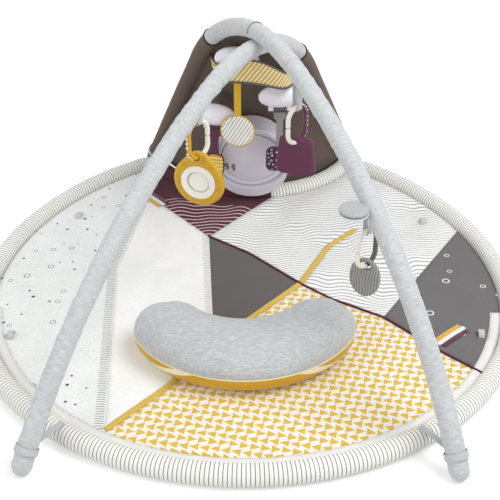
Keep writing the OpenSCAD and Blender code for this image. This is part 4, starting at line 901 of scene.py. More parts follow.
def paint_nubs(node, hang, material):
    """Gives the knobs of a link half, all that stands off its round bar, a finish of their own."""
    data = NODES[node].data
    data.materials.append(material)
    at, turn = hang_point(hang), math.radians(hang[3])
    bend = LINK_W / 2 - LINK_R
    for face in data.polygons:
        x, y, z = np.array(face.center) / MM - at
        across, out = x * math.cos(turn) + y * math.sin(turn), y * math.cos(turn) - x * math.sin(turn)
        middle = min(-bend, max(bend - LINK_SPAN, z))
        off = math.hypot(math.hypot(across, z - middle) - bend, out)
        if off > LINK_R + 0.25:
            face.material_index = 1


# Operators, one for each piece or group of like pieces
class GYM_OT_mat(bpy.types.Operator):
    """Quilts the patchwork top, the backing and the front border of the mat"""

    bl_idname = "gym.mat"
    bl_label = "Quilted mat"

    def execute(self, context):
        c = colours()
        sink = sizes().quilt / MM

        def folds(p, far):
            # The cloth gathers in soft folds where the scallop takes up its length
            back = max(0.0, min(1.0, (p[1] - 60) / 220))
            swing = math.sin((p[0] - 0.35 * p[1]) / 21 + 1.5 * ruffle((p[0], p[1], 0), 120))
            return min(1.0, far / 25) * back * 3.4 * swing

        # Melange jersey, printed: pale and soft, flecked light and dark
        heather = cloth("heather_jersey_print", c.heather, heather=0.12, paint=heather_print)
        # Plain-woven cotton, bleached, dyed or printed: dull and even, with a fine weave
        white = cloth("white_cotton", c.white, paint=white_print)
        burgundy = cloth("burgundy_cotton_print", c.burgundy, sheen=0.1, paint=burgundy_print)
        wave = cloth("wavy_line_cotton", c.white, paint=wave_print)
        charcoal = cloth("charcoal_cotton", c.charcoal, sheen=0.1)
        triangle = cloth("triangle_print_cotton", c.mustard, paint=triangle_print)
        dotted = cloth("dotted_grey_cotton", c.dotted, sheen=0.1, paint=dotted_print)
        cream = cloth("cream_cotton", linear("#E5E4E0"))
        for name, node, material, gather, slot in (
                ("heather_panel", "patch_heather", heather, None, "heather_jersey"),
                ("white_panel", "patch_white", white, None, "white_cloth"),
                ("burgundy_panel", "patch_burgundy", burgundy, folds, "burgundy_cloth"),
                ("wave_panel", "patch_wave", wave, folds, "wave_cloth"),
                ("charcoal_panel", "patch_charcoal", charcoal, None, "charcoal_cloth"),
                ("triangle_panel", "patch_triangle", triangle, None, "triangle_cloth"),
                ("dotted_panel", "patch_dotted", dotted, None, "dotted_cloth"),
                ("front_border", "mat_border", cream, None, "cream_cloth")):
            quilted(name, node, material, MAT_T, PATCH_T + 3, sink, gather)
        strip = quilted("mustard_strip_cloth", "mustard_strip", cloth("mustard_cotton", c.mustard),
            top=MAT_T + 0.3, depth=3, sink=0.4, step=4.0)
        # The underside and its wadding, in plain-woven bleached cotton: pale and dull
        flat, faces, far = filled(outline_of("mat_backing"), BACKING_STEP)
        top = np.column_stack([flat, np.full(len(flat), MAT_T - PATCH_T - 3.2)])
        under = np.column_stack([flat, FLOOR_GAP + 1.4 * np.exp(-far / 16.0)])
        plain = cloth("backing_cotton", linear("#E6E6E3"))
        backing = piece("mat_underside", closed_sheet(top, under, faces), plain,
            replaces=["mat_backing", "mat_wadding"])
        return {"FINISHED"}


def rim_line(step=4.0):
    """The rim's centre line round the mat, with the scallop at the back."""
    path_r, back_path, scallop = MAT_D / 2 - RIM_R, BACK_R - RIM_R, SCALLOP_R + RIM_R
    back_x = BACK_R - MAT_D / 2
    a1, a2, a3 = CORNER_TURNS
    arcs = (
        ((0, -MAT_Y), path_r, -math.pi, 0),
        ((-back_x, -MAT_Y), back_path, 0, a1),
        (CORNER, CORNER_R, a1, a2),
        ((0, SCALLOP_Y), scallop, a3, -math.pi - a3),
        ((-CORNER[0], CORNER[1]), CORNER_R, math.pi - a2, math.pi - a1),
        ((back_x, -MAT_Y), back_path, math.pi - a1, math.pi),
    )
    line = []
    for (cx, cy), r, a, b in arcs:
        n = max(3, int(abs(b - a) * r / step))
        line += [(cx + r * math.cos(t), cy + r * math.sin(t), RIM_R)
            for t in np.linspace(a, b, n, endpoint=False)]
    return np.array(line)


class GYM_OT_rim(bpy.types.Operator):
    """Rolls the striped, stuffed rim round the mat"""

    bl_idname = "gym.rim"
    bl_label = "Striped rim"

    def execute(self, context):
        line = rim_line()
        ring = round_section(1.0, RIM_SIDES)
        sections = np.zeros((len(line), RIM_SIDES, 2))
        long = lengths(line)
        for k, p in enumerate(line):
            for j in range(RIM_SIDES):
                turn = math.tau * j / RIM_SIDES
                lump = 0.5 + 0.5 * ruffle((p[0], p[1], 9 * j / RIM_SIDES), 46)
                round_it = Vector((long[k] / 9.0, 2.2 * math.cos(turn), 2.2 * math.sin(turn)))
                gather = 0.5 + 0.5 * noise.noise(round_it)
                sections[k, j] = ring[j] * (RIM_R - 0.1 - 0.7 * lump - 0.5 * gather)
        points, faces, uv = sweep(line, sections, closed=True)
        points[:, 2] = np.maximum(points[:, 2], RIM_FLOOR_GAP)
        # Plain-woven cotton with printed stripes, stuffed: dull, with fine dark lines across the roll
        striped = cloth("striped_rim_cotton", colours().cream, coords="UV", paint=rim_print)
        # The burgundy panel's cotton is wrapped over the left half of the scallop's rim
        wrap = cloth("burgundy_rim_cotton", colours().burgundy, coords="UV", sheen=0.1)
        wrapped = (line[:, 1] > WRAP_FROM_Y) & (line[:, 0] > WRAP_X[0]) & (line[:, 0] < WRAP_X[1])
        rim = piece("stuffed_rim", (points, faces, uv), [striped, wrap],
            marks=np.repeat(wrapped, RIM_SIDES), replaces=["rim_bolster"])
        return {"FINISHED"}


def wrinkled(path, wrinkle, seed, pitch, cap_start=False, cap_end=False, gather=0.0):
    """A padded sleeve along a path, with cross wrinkles that may gather at its start.

    A capped end is rounded off."""
    tangent = unit(np.gradient(path, axis=0))
    rings, radii = list(path), [1.0] * len(path)
    if cap_start:
        rings = [path[0] - tangent[0] * SLEEVE_R * CAP_SHARE * math.sin(a) for a in CAP_TURNS[::-1]] + rings
        radii = [math.cos(a) for a in CAP_TURNS[::-1]] + radii
    if cap_end:
        rings += [path[-1] + tangent[-1] * SLEEVE_R * CAP_SHARE * math.sin(a) for a in CAP_TURNS]
        radii += [math.cos(a) for a in CAP_TURNS]
    rings = np.array(rings)
    long = lengths(rings)
    ring = round_section(1.0, SLEEVE_SIDES)
    sections = np.zeros((len(rings), SLEEVE_SIDES, 2))
    for k in range(len(rings)):
        deep = wrinkle * (1 + gather * math.exp(-((long[k] / 130) ** 2)))
        for j in range(SLEEVE_SIDES):
            a = math.tau * j / SLEEVE_SIDES
            fine = noise.noise(Vector((long[k] / pitch, 0.9 * math.cos(a) + seed, 0.9 * math.sin(a))))
            broad = noise.noise(Vector((long[k] / 60, 0.8 * math.cos(a) + seed, 0.8 * math.sin(a) + 5)))
            r = SLEEVE_R - 0.4 - deep * (0.4 + 0.8 * fine) - 0.5 * (0.5 + broad)
            sections[k, j] = ring[j] * r * radii[k]
    return sweep(rings, sections)


def flattened(points, side):
    """Presses a sleeve flat where the two arches rest on each other."""
    points = points.copy()
    away = points - CROSS_AT
    high = away @ CROSS_UP
    near = np.linalg.norm(away - high[:, None] * CROSS_UP, axis=1) < 40
    short = near & (high * side < 0.4)
    points[short] += np.outer(0.4 * side - high[short], CROSS_UP)
    return points


class GYM_OT_sleeves(bpy.types.Operator):
    """Pulls the padded jersey and taupe sleeves over the arches, with their bindings and rounded feet"""

    bl_idname = "gym.sleeves"
    bl_label = "Arch sleeves"

    def execute(self, context):
        c = colours()
        deep = sizes().wrinkle / MM
        # Single jersey knitted from grey melange yarn: soft and matt, streaked light and dark
        jersey = cloth("grey_melange_jersey", c.jersey, thread=2.2, heather=0.26, relief=0.5, coords="UV",
            fibre=(1.5, 0.2, 1))
        # Plain-woven dyed cotton: dark, dull and smooth, with hardly a sheen
        taupe = cloth("taupe_cotton_sleeve", c.taupe, coords="UV", sheen=0.1)
        for i, (side, gather) in enumerate((("right", 0.3), ("left", 1.2))):
            points, faces, uv = wrinkled(BOWS[i].front_line(330), deep, 3.0 + i, cap_end=True, pitch=8.0,
                gather=gather)
            points[:, 2] = np.maximum(points[:, 2], FLOOR_GAP)
            sleeve = piece("sleeve_front_" + side, (points, faces, uv), jersey,
                replaces=["front_sleeve_" + side])
        parts = []
        for i, bow in enumerate(BOWS):
            line = bow.crown_line(-CROWN_REAR_TURN, CROWN_TURN, 110)
            points, faces, uv = wrinkled(line, deep * 1.5, 8.0 + i, pitch=5.0)
            parts.append((flattened(points, bow.side), faces, uv))
        crown = piece("sleeves_crown", join(parts), jersey, replaces=["crown_sleeves", "foam_tubes"])
        parts = []
        for i, bow in enumerate(BOWS):
            line = np.vstack([bow.rear_line(70), bow.crown_line(-bow.rise, -CROWN_REAR_TURN, 30)[1:]])
            parts.append(wrinkled(line, 0.25, 13.0 + i, cap_start=True, pitch=16))
        points, faces, uv = join(parts)
        points[:, 2] = np.maximum(points[:, 2], FLOOR_GAP)
        rear = piece("sleeves_rear", (points, faces, uv), taupe, replaces=["rear_sleeves", "foot_caps"])
        # Bindings where the sleeves meet, and a seam tape over the crossing
        turn = np.linspace(0, math.tau, 40, endpoint=False)
        meet_u = CROWN_U - CROWN_R * math.sin(CROWN_REAR_TURN)
        parts = [sweep(hoop(bow, meet_u, SLEEVE_R - 0.2, turn)[0], round_section(1.5, 8), closed=True)
            for bow in BOWS]
        marks = [0] * sum(len(part[1]) for part in parts)
        over, along, _ = hoop(BOWS[0], CROSS_U, SLEEVE_R - 0.1, np.linspace(-0.1, math.pi + 0.1, 24))
        parts.append(sweep(over, round_section(0.9, 8), up=along))
        marks += [1] * len(parts[-1][1])
        # Bias-cut cotton binding and knitted seam tape: thin dull lines, dark on taupe, grey on jersey
        binding = [cloth("dark_bias_binding", linear("#3A3534"), sheen=0.1),
            cloth("grey_seam_tape", linear("#8D9194"))]
        piece("sleeve_seam_bindings", join(parts), binding, marks=marks, replaces=["sleeve_bindings"])
        return {"FINISHED"}


class GYM_OT_backdrop(bpy.types.Operator):
    """Stretches the taupe backdrop between the rear legs and hangs the striped pelmet before the pods"""

    bl_idname = "gym.backdrop"
    bl_label = "Backdrop and pelmet"

    def execute(self, context):
        c = colours()
        # Rows of the stretched cloth, rows of its straight drop, and columns
        rows, drop, cols = 64, 6, 80
        grid = np.zeros((drop + rows + 1, cols + 1, 3))
        for r in range(drop + rows + 1):
            s = max(0, r - drop) / rows
            for k in range(cols + 1):
                # The cloth runs a little way into the sleeves, which it is sewn to
                v = (2 * k / cols - 1) * panel_reach(s, -5.0)
                p = panel_mid(s, v)
                if r < drop:
                    # Below its lowest row the cloth drops straight to a hem that lifts towards the legs
                    hem = HEM_Z + 0.93 * (p[2] - HEM_Z) * v * v
                    p[2] = hem + (p[2] - hem) * r / drop
                ease = (1 - v * v) * math.sin(math.pi * min(1, s * 1.1 + 0.05))
                fold = 1.6 * ruffle((p[0], p[2], 2.0), 55) + 1.2 * math.sin(p[0] / 26 + p[2] / 60)
                p[1] += ease * fold
                grid[r, k] = p
        flat, half = grid.reshape(-1, 3), np.array([0, 1.3, 0])
        quads = grid_quads(drop + rows, cols)
        # Plain-woven dyed cotton, stretched: dark and dull, with faint soft folds
        taupe = cloth("taupe_cotton", c.taupe, sheen=0.12, relief=0.2)
        panel = piece("backdrop_cloth", closed_sheet(flat - half, flat + half, quads), taupe,
            replaces=["backdrop_panel"])
        # Turned hem in bias-cut cotton along the foot of the backdrop: a dull dark edge
        hem = sweep(grid[0] + [0, 0, 1.5], flat_section(3.4, 8.0), up=(0, 0, 1))
        piece("backdrop_hem", hem, cloth("dark_bias_binding_hem", linear("#3A3534"), sheen=0.1))

        def pelmet_end(v):
            return panel_mid(PELMET_S, v * (panel_reach(PELMET_S) - PELMET_TUCK)) - np.array([0, 6, 6])

        def pelmet_point(a, b, out=0.0):
            straight = (pelmet_end(-1) * (1 - b) + pelmet_end(1) * (1 + b)) / 2
            return straight + np.array([0, -PELMET_OUT * (1 - b**6) - out, PELMET_LIFT * (1 - b * b) + a])

        def pelmet_rise(b):
            return PELMET_END_H + (PELMET_H - PELMET_END_H) * (1 - b * b)

        rows, cols = 10, 72
        across = [2 * k / cols - 1 for k in range(cols + 1)]
        front, back = [], []
        for r in range(rows + 1):
            swell = 0.7 * math.sin(math.pi * r / rows)
            for b in across:
                a = PELMET_BIND_H + r / rows * pelmet_rise(b)
                front.append(pelmet_point(a, b, 1.2 + swell))
                back.append(pelmet_point(a, b, -swell))
        front, quads = np.array(front), grid_quads(rows, cols)
        # Plain-woven cotton printed with slanting stripes: pale cream and mustard, dull
        stripes = cloth("striped_pelmet_cotton", c.cream, paint=pelmet_print)
        striped = piece("pelmet_cloth", closed_sheet(front, np.array(back), quads), stripes,
            replaces=["pelmet"])
        low = np.array([pelmet_point(PELMET_BIND_H / 2, b, 0.6) for b in across])
        high = np.array([pelmet_point(PELMET_BIND_H + pelmet_rise(b), b, 0.6) for b in across])
        edges = ((low, PELMET_BIND_H), (high, 3.0))
        parts = [sweep(line, flat_section(3.4, h), up=(0, 0, 1)) for line, h in edges]
        # Bias-cut cotton binding: a dull grey line along both edges
        piece("pelmet_bound_edges", join(parts), cloth("grey_bias_binding", linear("#5F5B5B"), sheen=0.1),
            replaces=["pelmet_binding"])
        # Stalks over the studs that carry the pods, in the backdrop's own cotton
        parts, t = [], np.linspace(0, 1, 14)
        girth = POD_STUD_R + 1.2 + 5 * (1 - t) ** 3 + 2.0 * t**4
        for k in range(3):
            line = np.array([pod_room(k, (0, -d, 0))[0] for d in np.linspace(-2, POD_OFF[k] - 0.4, 14)])
            parts.append(sweep(line, np.array([round_section(1.0, 28) * r for r in girth])))
        piece("pod_stalk_covers", join(parts), cloth("taupe_cotton_stalk", c.taupe, coords="UV", sheen=0.1))
        return {"FINISHED"}


class GYM_OT_webbing(bpy.types.Operator):
    """Sews the toy loops, the foot straps, the ribbons and the piping to the mat and arches"""

    bl_idname = "gym.webbing"
    bl_label = "Webbing, ribbons and piping"

    def execute(self, context):
        self.toy_loops()
        self.foot_straps()
        self.ribbons()
        self.piping()
        return {"FINISHED"}

    def toy_loops(self):
        """Loops that stand on the mat's edge and loops that hang from the arches."""
        parts = []
        tape = flat_section(LOOP_W, LOOP_T)
        inner = MAT_D / 2 - 2 * RIM_R - 0.3 - BORDER_W - LOOP_W
        for a in np.radians(MAT_LOOP_TURNS):
            turn = np.linspace(-0.12, math.pi + 0.12, 18)
            line = np.column_stack([np.full(18, inner * math.cos(a)),
                inner * math.sin(a) - MAT_Y + MAT_LOOP_R * np.cos(turn), MAT_T + MAT_LOOP_R * np.sin(turn)])
            parts.append(sweep(line, tape, up=(0, 1, 0)))
        up = np.array([0, 0, 1])
        for h in (EGG_HANG, SQUARE_HANG, LEAF_HANG):
            at, a = hang_point(h), math.radians(h[3])
            side = np.array([-math.sin(a), math.cos(a), 0])
            r, high = HANG_LOOP_R + LOOP_T / 2, h[2] + SLEEVE_R * 0.2
            line = [at - side * r + up * z for z in np.linspace(high, 2, 8)]
            line += [at + side * r * math.cos(t) + up * r * math.sin(t)
                for t in np.linspace(math.pi, math.tau, 14)]
            line += [at + side * r + up * z for z in np.linspace(2, high, 8)]
            parts.append(sweep(np.array(line), tape, up=tuple(side)))
        # Woven polyester tape: light grey and dull, with a coarse weave
        tape_cloth = cloth("grey_herringbone_tape", linear("#C4C6C7"), thread=2.0, relief=0.5, coords="UV")
        piece("toy_loops", join(parts), tape_cloth, replaces=["webbing_loops"])

    def foot_straps(self):
        """A band round each leg and a tail over the rim."""
        parts = []
        strap_z = 2 * RIM_R + 0.3 + LOOP_T / 2
        strap = flat_section(LOOP_W, LOOP_T)
        r = SLEEVE_R + 0.3 + LOOP_T / 2
        turn = np.linspace(0, math.tau, 36, endpoint=False)
        for bow in BOWS:
            rise = strap_z / math.cos(ARCH_LEAN) - FOOT_Z
            for u, to, stop in ((ARCH_RUN - rise / math.tan(bow.end), (0, -MAT_Y), MAT_D / 2 - RIM_R),
                    (rise / math.tan(bow.rise), (-bow.side * CORNER[0], CORNER[1]), CORNER_R)):
                at = bow.point(u)
                ring, _, across = hoop(bow, u, r, turn, 0.5)
                parts.append(sweep(ring, strap, closed=True, up=tuple(across)))
                way = np.array([to[0] - at[0], to[1] - at[1], 0])
                run = np.linalg.norm(way)
                way /= run
                level = np.array([at[0], at[1], strap_z])
                line = np.array([level + way * t for t in np.linspace(r - 1, run - stop + 2, 10)])
                parts.append(sweep(line, strap))
        # Woven polyester webbing: light grey and dull, with a coarse weave
        webbing = cloth("grey_foot_webbing", linear("#C2C4C5"), thread=2.0, relief=0.5, coords="UV")
        piece("foot_straps", join(parts), webbing, replaces=["leg_straps"])

    def ribbons(self):
        """Three ribbons side by side at two places."""
        parts, marks = [], []
        for share, turn, order in zip(RIBBON_SHARES, (43, -48), ((2, 1, 0), (0, 1, 2))):
            a = math.radians(turn)
            along, side = np.array([math.cos(a), math.sin(a), 0]), np.array([-math.sin(a), math.cos(a), 0])
            middle = np.array([share[0] * MAT_D / 2, share[1] * MAT_D / 2, 0])
            for k in (-1, 0, 1):
                # The middle ribbon is the longest; each swells off the mat and lifts at its end
                long = RIBBON_L - 6 * abs(k)
                t = np.linspace(-long / 2, long / 2, 16)
                swell = 1.6 * np.sin(np.linspace(0, math.pi, 16)) ** 2
                line = middle + t[:, None] * along + k * RIBBON_PITCH * side
                line[:, 2] += MAT_T + 0.9 + swell + 1.2 * (t / long + 0.5) ** 4
                parts.append(sweep(line, flat_section(8.7, 1.0)))
                marks += [order[k + 1]] * len(parts[-1][1])
        # Satin-woven polyester ribbon: smooth, with a soft silky sheen
        satin = [cloth(name + "_satin_ribbon", linear(tint), rough=0.6, sheen=0.5, coords="UV")
            for name, tint in (("mustard", "#D9A92B"), ("white", "#E4E6EC"), ("burgundy", "#571F38"))]
        piece("satin_ribbons", join(parts), satin, marks=marks, replaces=["ribbon_tags"])

    def piping(self):
        """A corded piping let into the seam, its turns eased."""
        turns = [SEAMS[key] for key in ("tip", "tip_turn", "cross", "dot_turn", "dot_front", "side")]
        end = np.array(SEAMS["side"]) + 0.64 * (np.array(SEAMS["side_end"]) - np.array(SEAMS["side"]))
        turns = np.array(turns + [tuple(end)], float)
        line = []
        for a, b in zip(turns, turns[1:]):
            n = int(np.linalg.norm(b - a) / 5)
            line += [a + (b - a) * k / n for k in range(n)]
        line = np.array(line + [turns[-1]])
        for _ in range(3):
            line[1:-1] = (line[:-2] + 2 * line[1:-1] + line[2:]) / 4
        line = np.column_stack([line, np.full(len(line), MAT_T - 0.4)])
        # Cotton bias wound over a cord: a dull dark round line
        cord = cloth("burgundy_piping_cord", linear("#5A2036"), coords="UV", sheen=0.1)
        piece("corded_piping", sweep(line, round_section(1.9, 12)), cord, replaces=["patch_piping"])


class GYM_OT_plastics(bpy.types.Operator):
    """Finishes the moulded pods, drum, links, teethers and straps, and the works inside"""

    bl_idname = "gym.plastics"
    bl_label = "Moulded pieces"

    def execute(self, context):
        c = colours()
        drum = plastic("drum_shell_abs", c.lilac, rough=0.36)
        cream = plastic("cream_link_abs", linear("#F1EFE6"), rough=0.32)
        rod = plastic("pultruded_glass_fibre", linear("#2B2D2D"), rough=0.45, grain=0.8)
        metals = [plastic("drawn_aluminium", linear("#C9CACC"), rough=0.35),
            plastic("spring_steel", linear("#B9BABD"), rough=0.3)]
        for metal in metals:
            metal.node_tree.nodes["Principled BSDF"].inputs["Metallic"].default_value = 1.0
        finishes = (
            # ABS injected into a spark-eroded mould: even colour, satin, with broad soft highlights
            ("pod_domes pod_trays pod_back_plates", plastic("pod_shell_abs", c.pod, rough=0.3, coat=0.15)),
            ("drum_rear_shell drum_front_ring battery_door", drum),
            # The same with two pad-printed marks
            ("kick_plate", plastic("kick_plate_abs", c.lilac, rough=0.34, paint=kick_marks)),
            # ABS from a polished mould: brighter, smaller highlights on the round bars
            ("egg_link_smooth egg_ring egg_spinner square_link_smooth leaf_link_pale", cream),
            ("egg_link_nubbed", plastic("mustard_link_abs", linear("#D3A51F"), rough=0.34)),
            ("square_link_nubbed", plastic("plum_link_abs", linear("#5E2347"), rough=0.34)),
            ("leaf_link_dark", plastic("dark_grey_link_abs", linear("#5A5958"), rough=0.3)),
            # Pressed silicone rubber: dull and slightly dusty, with the egg's raised rings drawn as faint
            # darker rings of painted shade
            ("egg_teether", plastic("mustard_silicone", c.gold, rough=0.5, relief=0.12, paint=painted_egg_ring_shade)),
            ("square_teether", plastic("plum_silicone", c.plum, rough=0.52, relief=0.12)),
            # Moulded thermoplastic rubber: dull, full colour, with a ribbed head on two straps
            ("strap_round", plastic("mustard_strap_tpe", linear("#DCB01C"), rough=0.5)),
            ("strap_left", plastic("burgundy_strap_tpe", linear("#5A1F3A"), rough=0.5, paint=strap_ribs)),
            ("strap_right", plastic("grey_strap_tpe", linear("#8B8987"), rough=0.5, paint=strap_ribs)),
            # Pultruded glass fibre rod in tubes of drawn aluminium: near black, against bright soft metal
            ("rear_poles front_poles", rod),
            ("pole_ferrules", metals[0]),
            # The drum's works: bright wire, green lacquer, black stamped steel and printed jackets
            ("kick_spring", metals[1]),
            ("circuit_board", plastic("green_solder_mask", linear("#1F5A38"), rough=0.4)),
            ("speaker", plastic("black_speaker_frame", linear("#2A2A2B"), rough=0.5)),
            ("battery_cells", plastic("cell_jacket", linear("#B9963B"), rough=0.35)),
        )
        for nodes, material in finishes:
            for node in nodes.split():
                paint_node(node, material)
        paint_nubs("egg_link_nubbed", EGG_HANG, cream)
        paint_nubs("square_link_nubbed", SQUARE_HANG, cream)
        return {"FINISHED"}


class GYM_OT_soft_toys(bpy.types.Operator):
    """Stuffs the three tags, the hanging leaf and the round puck on the leg"""

    bl_idname = "gym.soft_toys"
    bl_label = "Soft toys"

    def execute(self, context):
        c = colours()
        # Printed plain-woven cotton, lightly stuffed: dull prints on soft swellings, with a bias-cut trim
        stripes = cloth("diagonal_stripe_cotton", c.cream, paint=tag_stripes)
        dots = cloth("plum_dot_cotton", linear("#452743"), paint=purple_dots)
        bands = cloth("mustard_stripe_cotton", linear("#D2A63C"), paint=gold_stripes)
        self.tag(0, "round", stripes, "tag_cream", "#D4A72C")
        self.tag(1, "right", dots, "tag_purple", "#55525A")
        self.tag(2, "left", bands, "tag_mustard", "#54203A")
        self.leaf()
        self.puck()
        return {"FINISHED"}

    def tag(self, k, name, material, slot, trim):
        """A round or square tag below a pod's strap, with a trim along its seam."""
        w, h = TAG_SIZE[k]
        if k == 0:
            a = np.linspace(0, math.tau, 72, endpoint=False)
            loop = np.column_stack([np.cos(a), np.sin(a)]) * (w / 2 - TAG_EDGE)
            drop = STRAP_L[0] + w / 2
        else:
            r, loop = TAG_CORNER_R, []
            for sx, sy, a0 in ((1, 1, 0), (-1, 1, 90), (-1, -1, 180), (1, -1, 270)):
                for a in np.radians(np.linspace(a0, a0 + 90, 10)):
                    loop.append((sx * (w / 2 - r) + (r - TAG_EDGE) * math.cos(a),
                        sy * (h / 2 - r) + (r - TAG_EDGE) * math.sin(a)))
            loop = np.array(loop)
            drop = STRAP_L[k] + 0.3 + h / 2
        # Local X across the tag, local Y up it, local Z out towards the back
        at, yaw = pod_room(k, (0, -POD_OFF[k] - POD_TRAY_T / 2, -HANGER_DROP))
        matrix = stood(at - np.array([0, 0, drop]), yaw)
        tag = stuffed("stuffed_tag_" + name, [loop], thick=TAG_T + 1.5, edge=7.0, matrix=matrix,
            material=material, body=name + "_tag", replaces=["tag_" + name])
        line = np.array([matrix @ Vector((p[0], p[1], 0)) for p in split_long(loop, 2.5)])
        edge = sweep(line, round_section(1.5, 8), closed=True,
            up=tuple(matrix.to_3x3() @ Vector((0, 0, 1))))
        piece("tag_trim_" + name, edge, cloth("bias_trim_tag_" + name, linear(trim), coords="UV"),
            name + "_tag")

    def leaf(self):
        """Two curved sides that meet in soft tips, hung by an eyelet."""
        t = np.linspace(0, math.tau, 96, endpoint=False)
        across, up = np.sin(t), np.cos(t)
        shape = np.column_stack([LEAF_HALF[0] * np.sign(across) * np.abs(across) ** 1.12,
            LEAF_HALF[1] * np.sign(up) * np.abs(up) ** 0.9 + LEAF_DROP])
        turn = np.linspace(0, math.tau, 24, endpoint=False)
        # The link runs aslant through the leaf, so its eyelet is wider than it is high
        hole = np.column_stack([np.cos(turn) * (LEAF_HOLE_R / math.cos(TOY_TURN) + 2.2),
            np.sin(turn) * (LEAF_HOLE_R + 0.4)])
        matrix = stood(hang_point(LEAF_HANG) - np.array([0, 0, LINK_SPAN]),
            math.radians(LEAF_HANG[3]) + TOY_TURN + math.pi / 2)
        # Printed cotton over crinkle film: grey lines, a little smoother than the other cloths
        print_cloth = cloth("leaf_print_cotton", linear("#838381"), paint=leaf_print, rough=0.7)
        leaf = stuffed("crinkle_leaf", [shape, hole], thick=8.6, edge=6.0, matrix=matrix,
            material=print_cloth, body="leaf", replaces=["leaf_toy"])

    def puck(self):
        """A knitted top and base over a dark welt."""
        bow = BOWS[0]
        out = SLEEVE_R + PUCK_R - 6
        at = bow.point(PUCK_U) + np.array([math.sin(bow.turn), -math.cos(bow.turn), 0]) * out
        points, faces = lathe(PUCK_PROFILE)
        # Cloth and number of rows of faces of the base, the welt and the top, then the two ends
        bands = ((1, 5), (2, 3), (0, 6))
        marks = [part for part, rows in bands for _ in range(rows * LATHE_SIDES)] + [1, 0]
        # Melange knit, plain cotton and a bound edge: soft and matt, with a dark line round the side
        cloths = [cloth("puck_knit", linear("#B4B8BA"), heather=0.16, relief=0.4),
            cloth("puck_base_cotton", linear("#E3E4E4")), cloth("puck_welt", linear("#3E3F41"))]
        puck = piece("knitted_puck", (points + at - np.array([0, 0, PUCK_T / 2]), faces), cloths,
            marks=marks, replaces=["leg_puck"])


def pillow_point(x, b, high, low):
    """A point of the pillow: x runs from horn to horn, b round half a section."""
    share = PILLOW_HORN_W / 2 / (PILLOW_R * PILLOW_SWEEP)
    swell = math.sqrt(max(0.0016, 1 - max(0.0, (abs(x) - 1 + share) / share) ** 2))
    half = (PILLOW_W + (PILLOW_HORN_W - PILLOW_W) * x * x) / 2 * swell
    a, r = PILLOW_SWEEP * x, PILLOW_R + half * math.cos(b)
    return np.array([r * math.sin(a), PILLOW_R - r * math.cos(a), low + (high - low) * math.sin(b) * swell])


class GYM_OT_pillow(bpy.types.Operator):
    """Stuffs the crescent pillow, with its jersey top, banded base and corded seam"""

    bl_idname = "gym.pillow"
    bl_label = "Pillow"

    def execute(self, context):
        c = colours()
        rings, steps = PILLOW_RINGS, PILLOW_STEPS
        n = steps + 1
        base = MAT_T + 0.3
        ct, st = math.cos(PILLOW_TURN), math.sin(PILLOW_TURN)

        def placed(p):
            return np.array([p[0] * ct - p[1] * st + PILLOW_AT[0], p[0] * st + p[1] * ct + PILLOW_AT[1],
                p[2] + base])

        def half(high):
            points = []
            for k in range(rings + 1):
                x = math.sin(math.pi / 2 * (2 * k / rings - 1))
                for m in range(steps + 1):
                    b = math.pi * m / steps
                    p = pillow_point(x, b, high, PILLOW_SEAM)
                    if high > PILLOW_SEAM:
                        p[2] += 0.9 * math.sin(b) * ruffle(p, 26)
                    points.append(placed(p))
            faces = [(k * n + m, (k + 1) * n + m, (k + 1) * n + m + 1, k * n + m + 1)
                for k in range(rings) for m in range(steps)]
            faces += [tuple(range(n)), tuple(rings * n + m for m in reversed(range(n)))]
            points = np.array(points)
            points[:, 2] = np.maximum(points[:, 2], base)
            return points, faces if high > PILLOW_SEAM else [f[::-1] for f in faces]

        seam = [k * n + m for k in range(rings + 1) for m in (range(n) if k in (0, rings) else (0, steps))]
        # Single jersey knitted from melange yarn, stuffed: soft and matt, streaked from horn to horn
        jersey = cloth("pillow_melange_jersey", c.pillow, thread=2.2, heather=0.3, relief=0.5,
            fibre=(0.22, 1.3, 1))
        top = piece("pillow_jersey_top", half(PILLOW_H), jersey, "pillow", replaces=["pillow_top"])
        puffed(top, seam, pressure=4.0, spare=0.035, most=9.0)
        top.modifiers.new("finer", "SUBSURF")
        # Plain-woven cotton with bands of mustard and cream: dull, with a fine weave
        banded = cloth("pillow_banded_cotton", c.gold, paint=pillow_bands)
        under = piece("pillow_banded_base", half(-PILLOW_SEAM / 3), banded, "pillow",
            replaces=["pillow_base"])
        puffed(under, seam, pressure=2.0, spare=0.02, most=5.0)
        flat = np.empty(len(under.data.vertices) * 3)
        under.data.vertices.foreach_get("co", flat)
        flat[2::3] = np.maximum(flat[2::3], base * MM)
        under.data.vertices.foreach_set("co", flat)
        under.modifiers.new("finer", "SUBSURF")
        line = []
        for b in (0.0, math.pi):
            xs = [math.sin(math.pi / 2 * t) for t in np.linspace(-1, 1, 90)]
            side = [placed(pillow_point(x, b, PILLOW_SEAM, PILLOW_SEAM)) for x in xs]
            line += side if b == 0.0 else side[::-1]
        line = np.array(line)
        # Cotton bias wound over a cord: a pale dull line round the seam
        piece("pillow_seam_cord", sweep(line, round_section(1.3, 8), closed=True),
            cloth("cream_piping_cord", linear("#F1E6C8"), coords="UV"), "pillow")
        return {"FINISHED"}


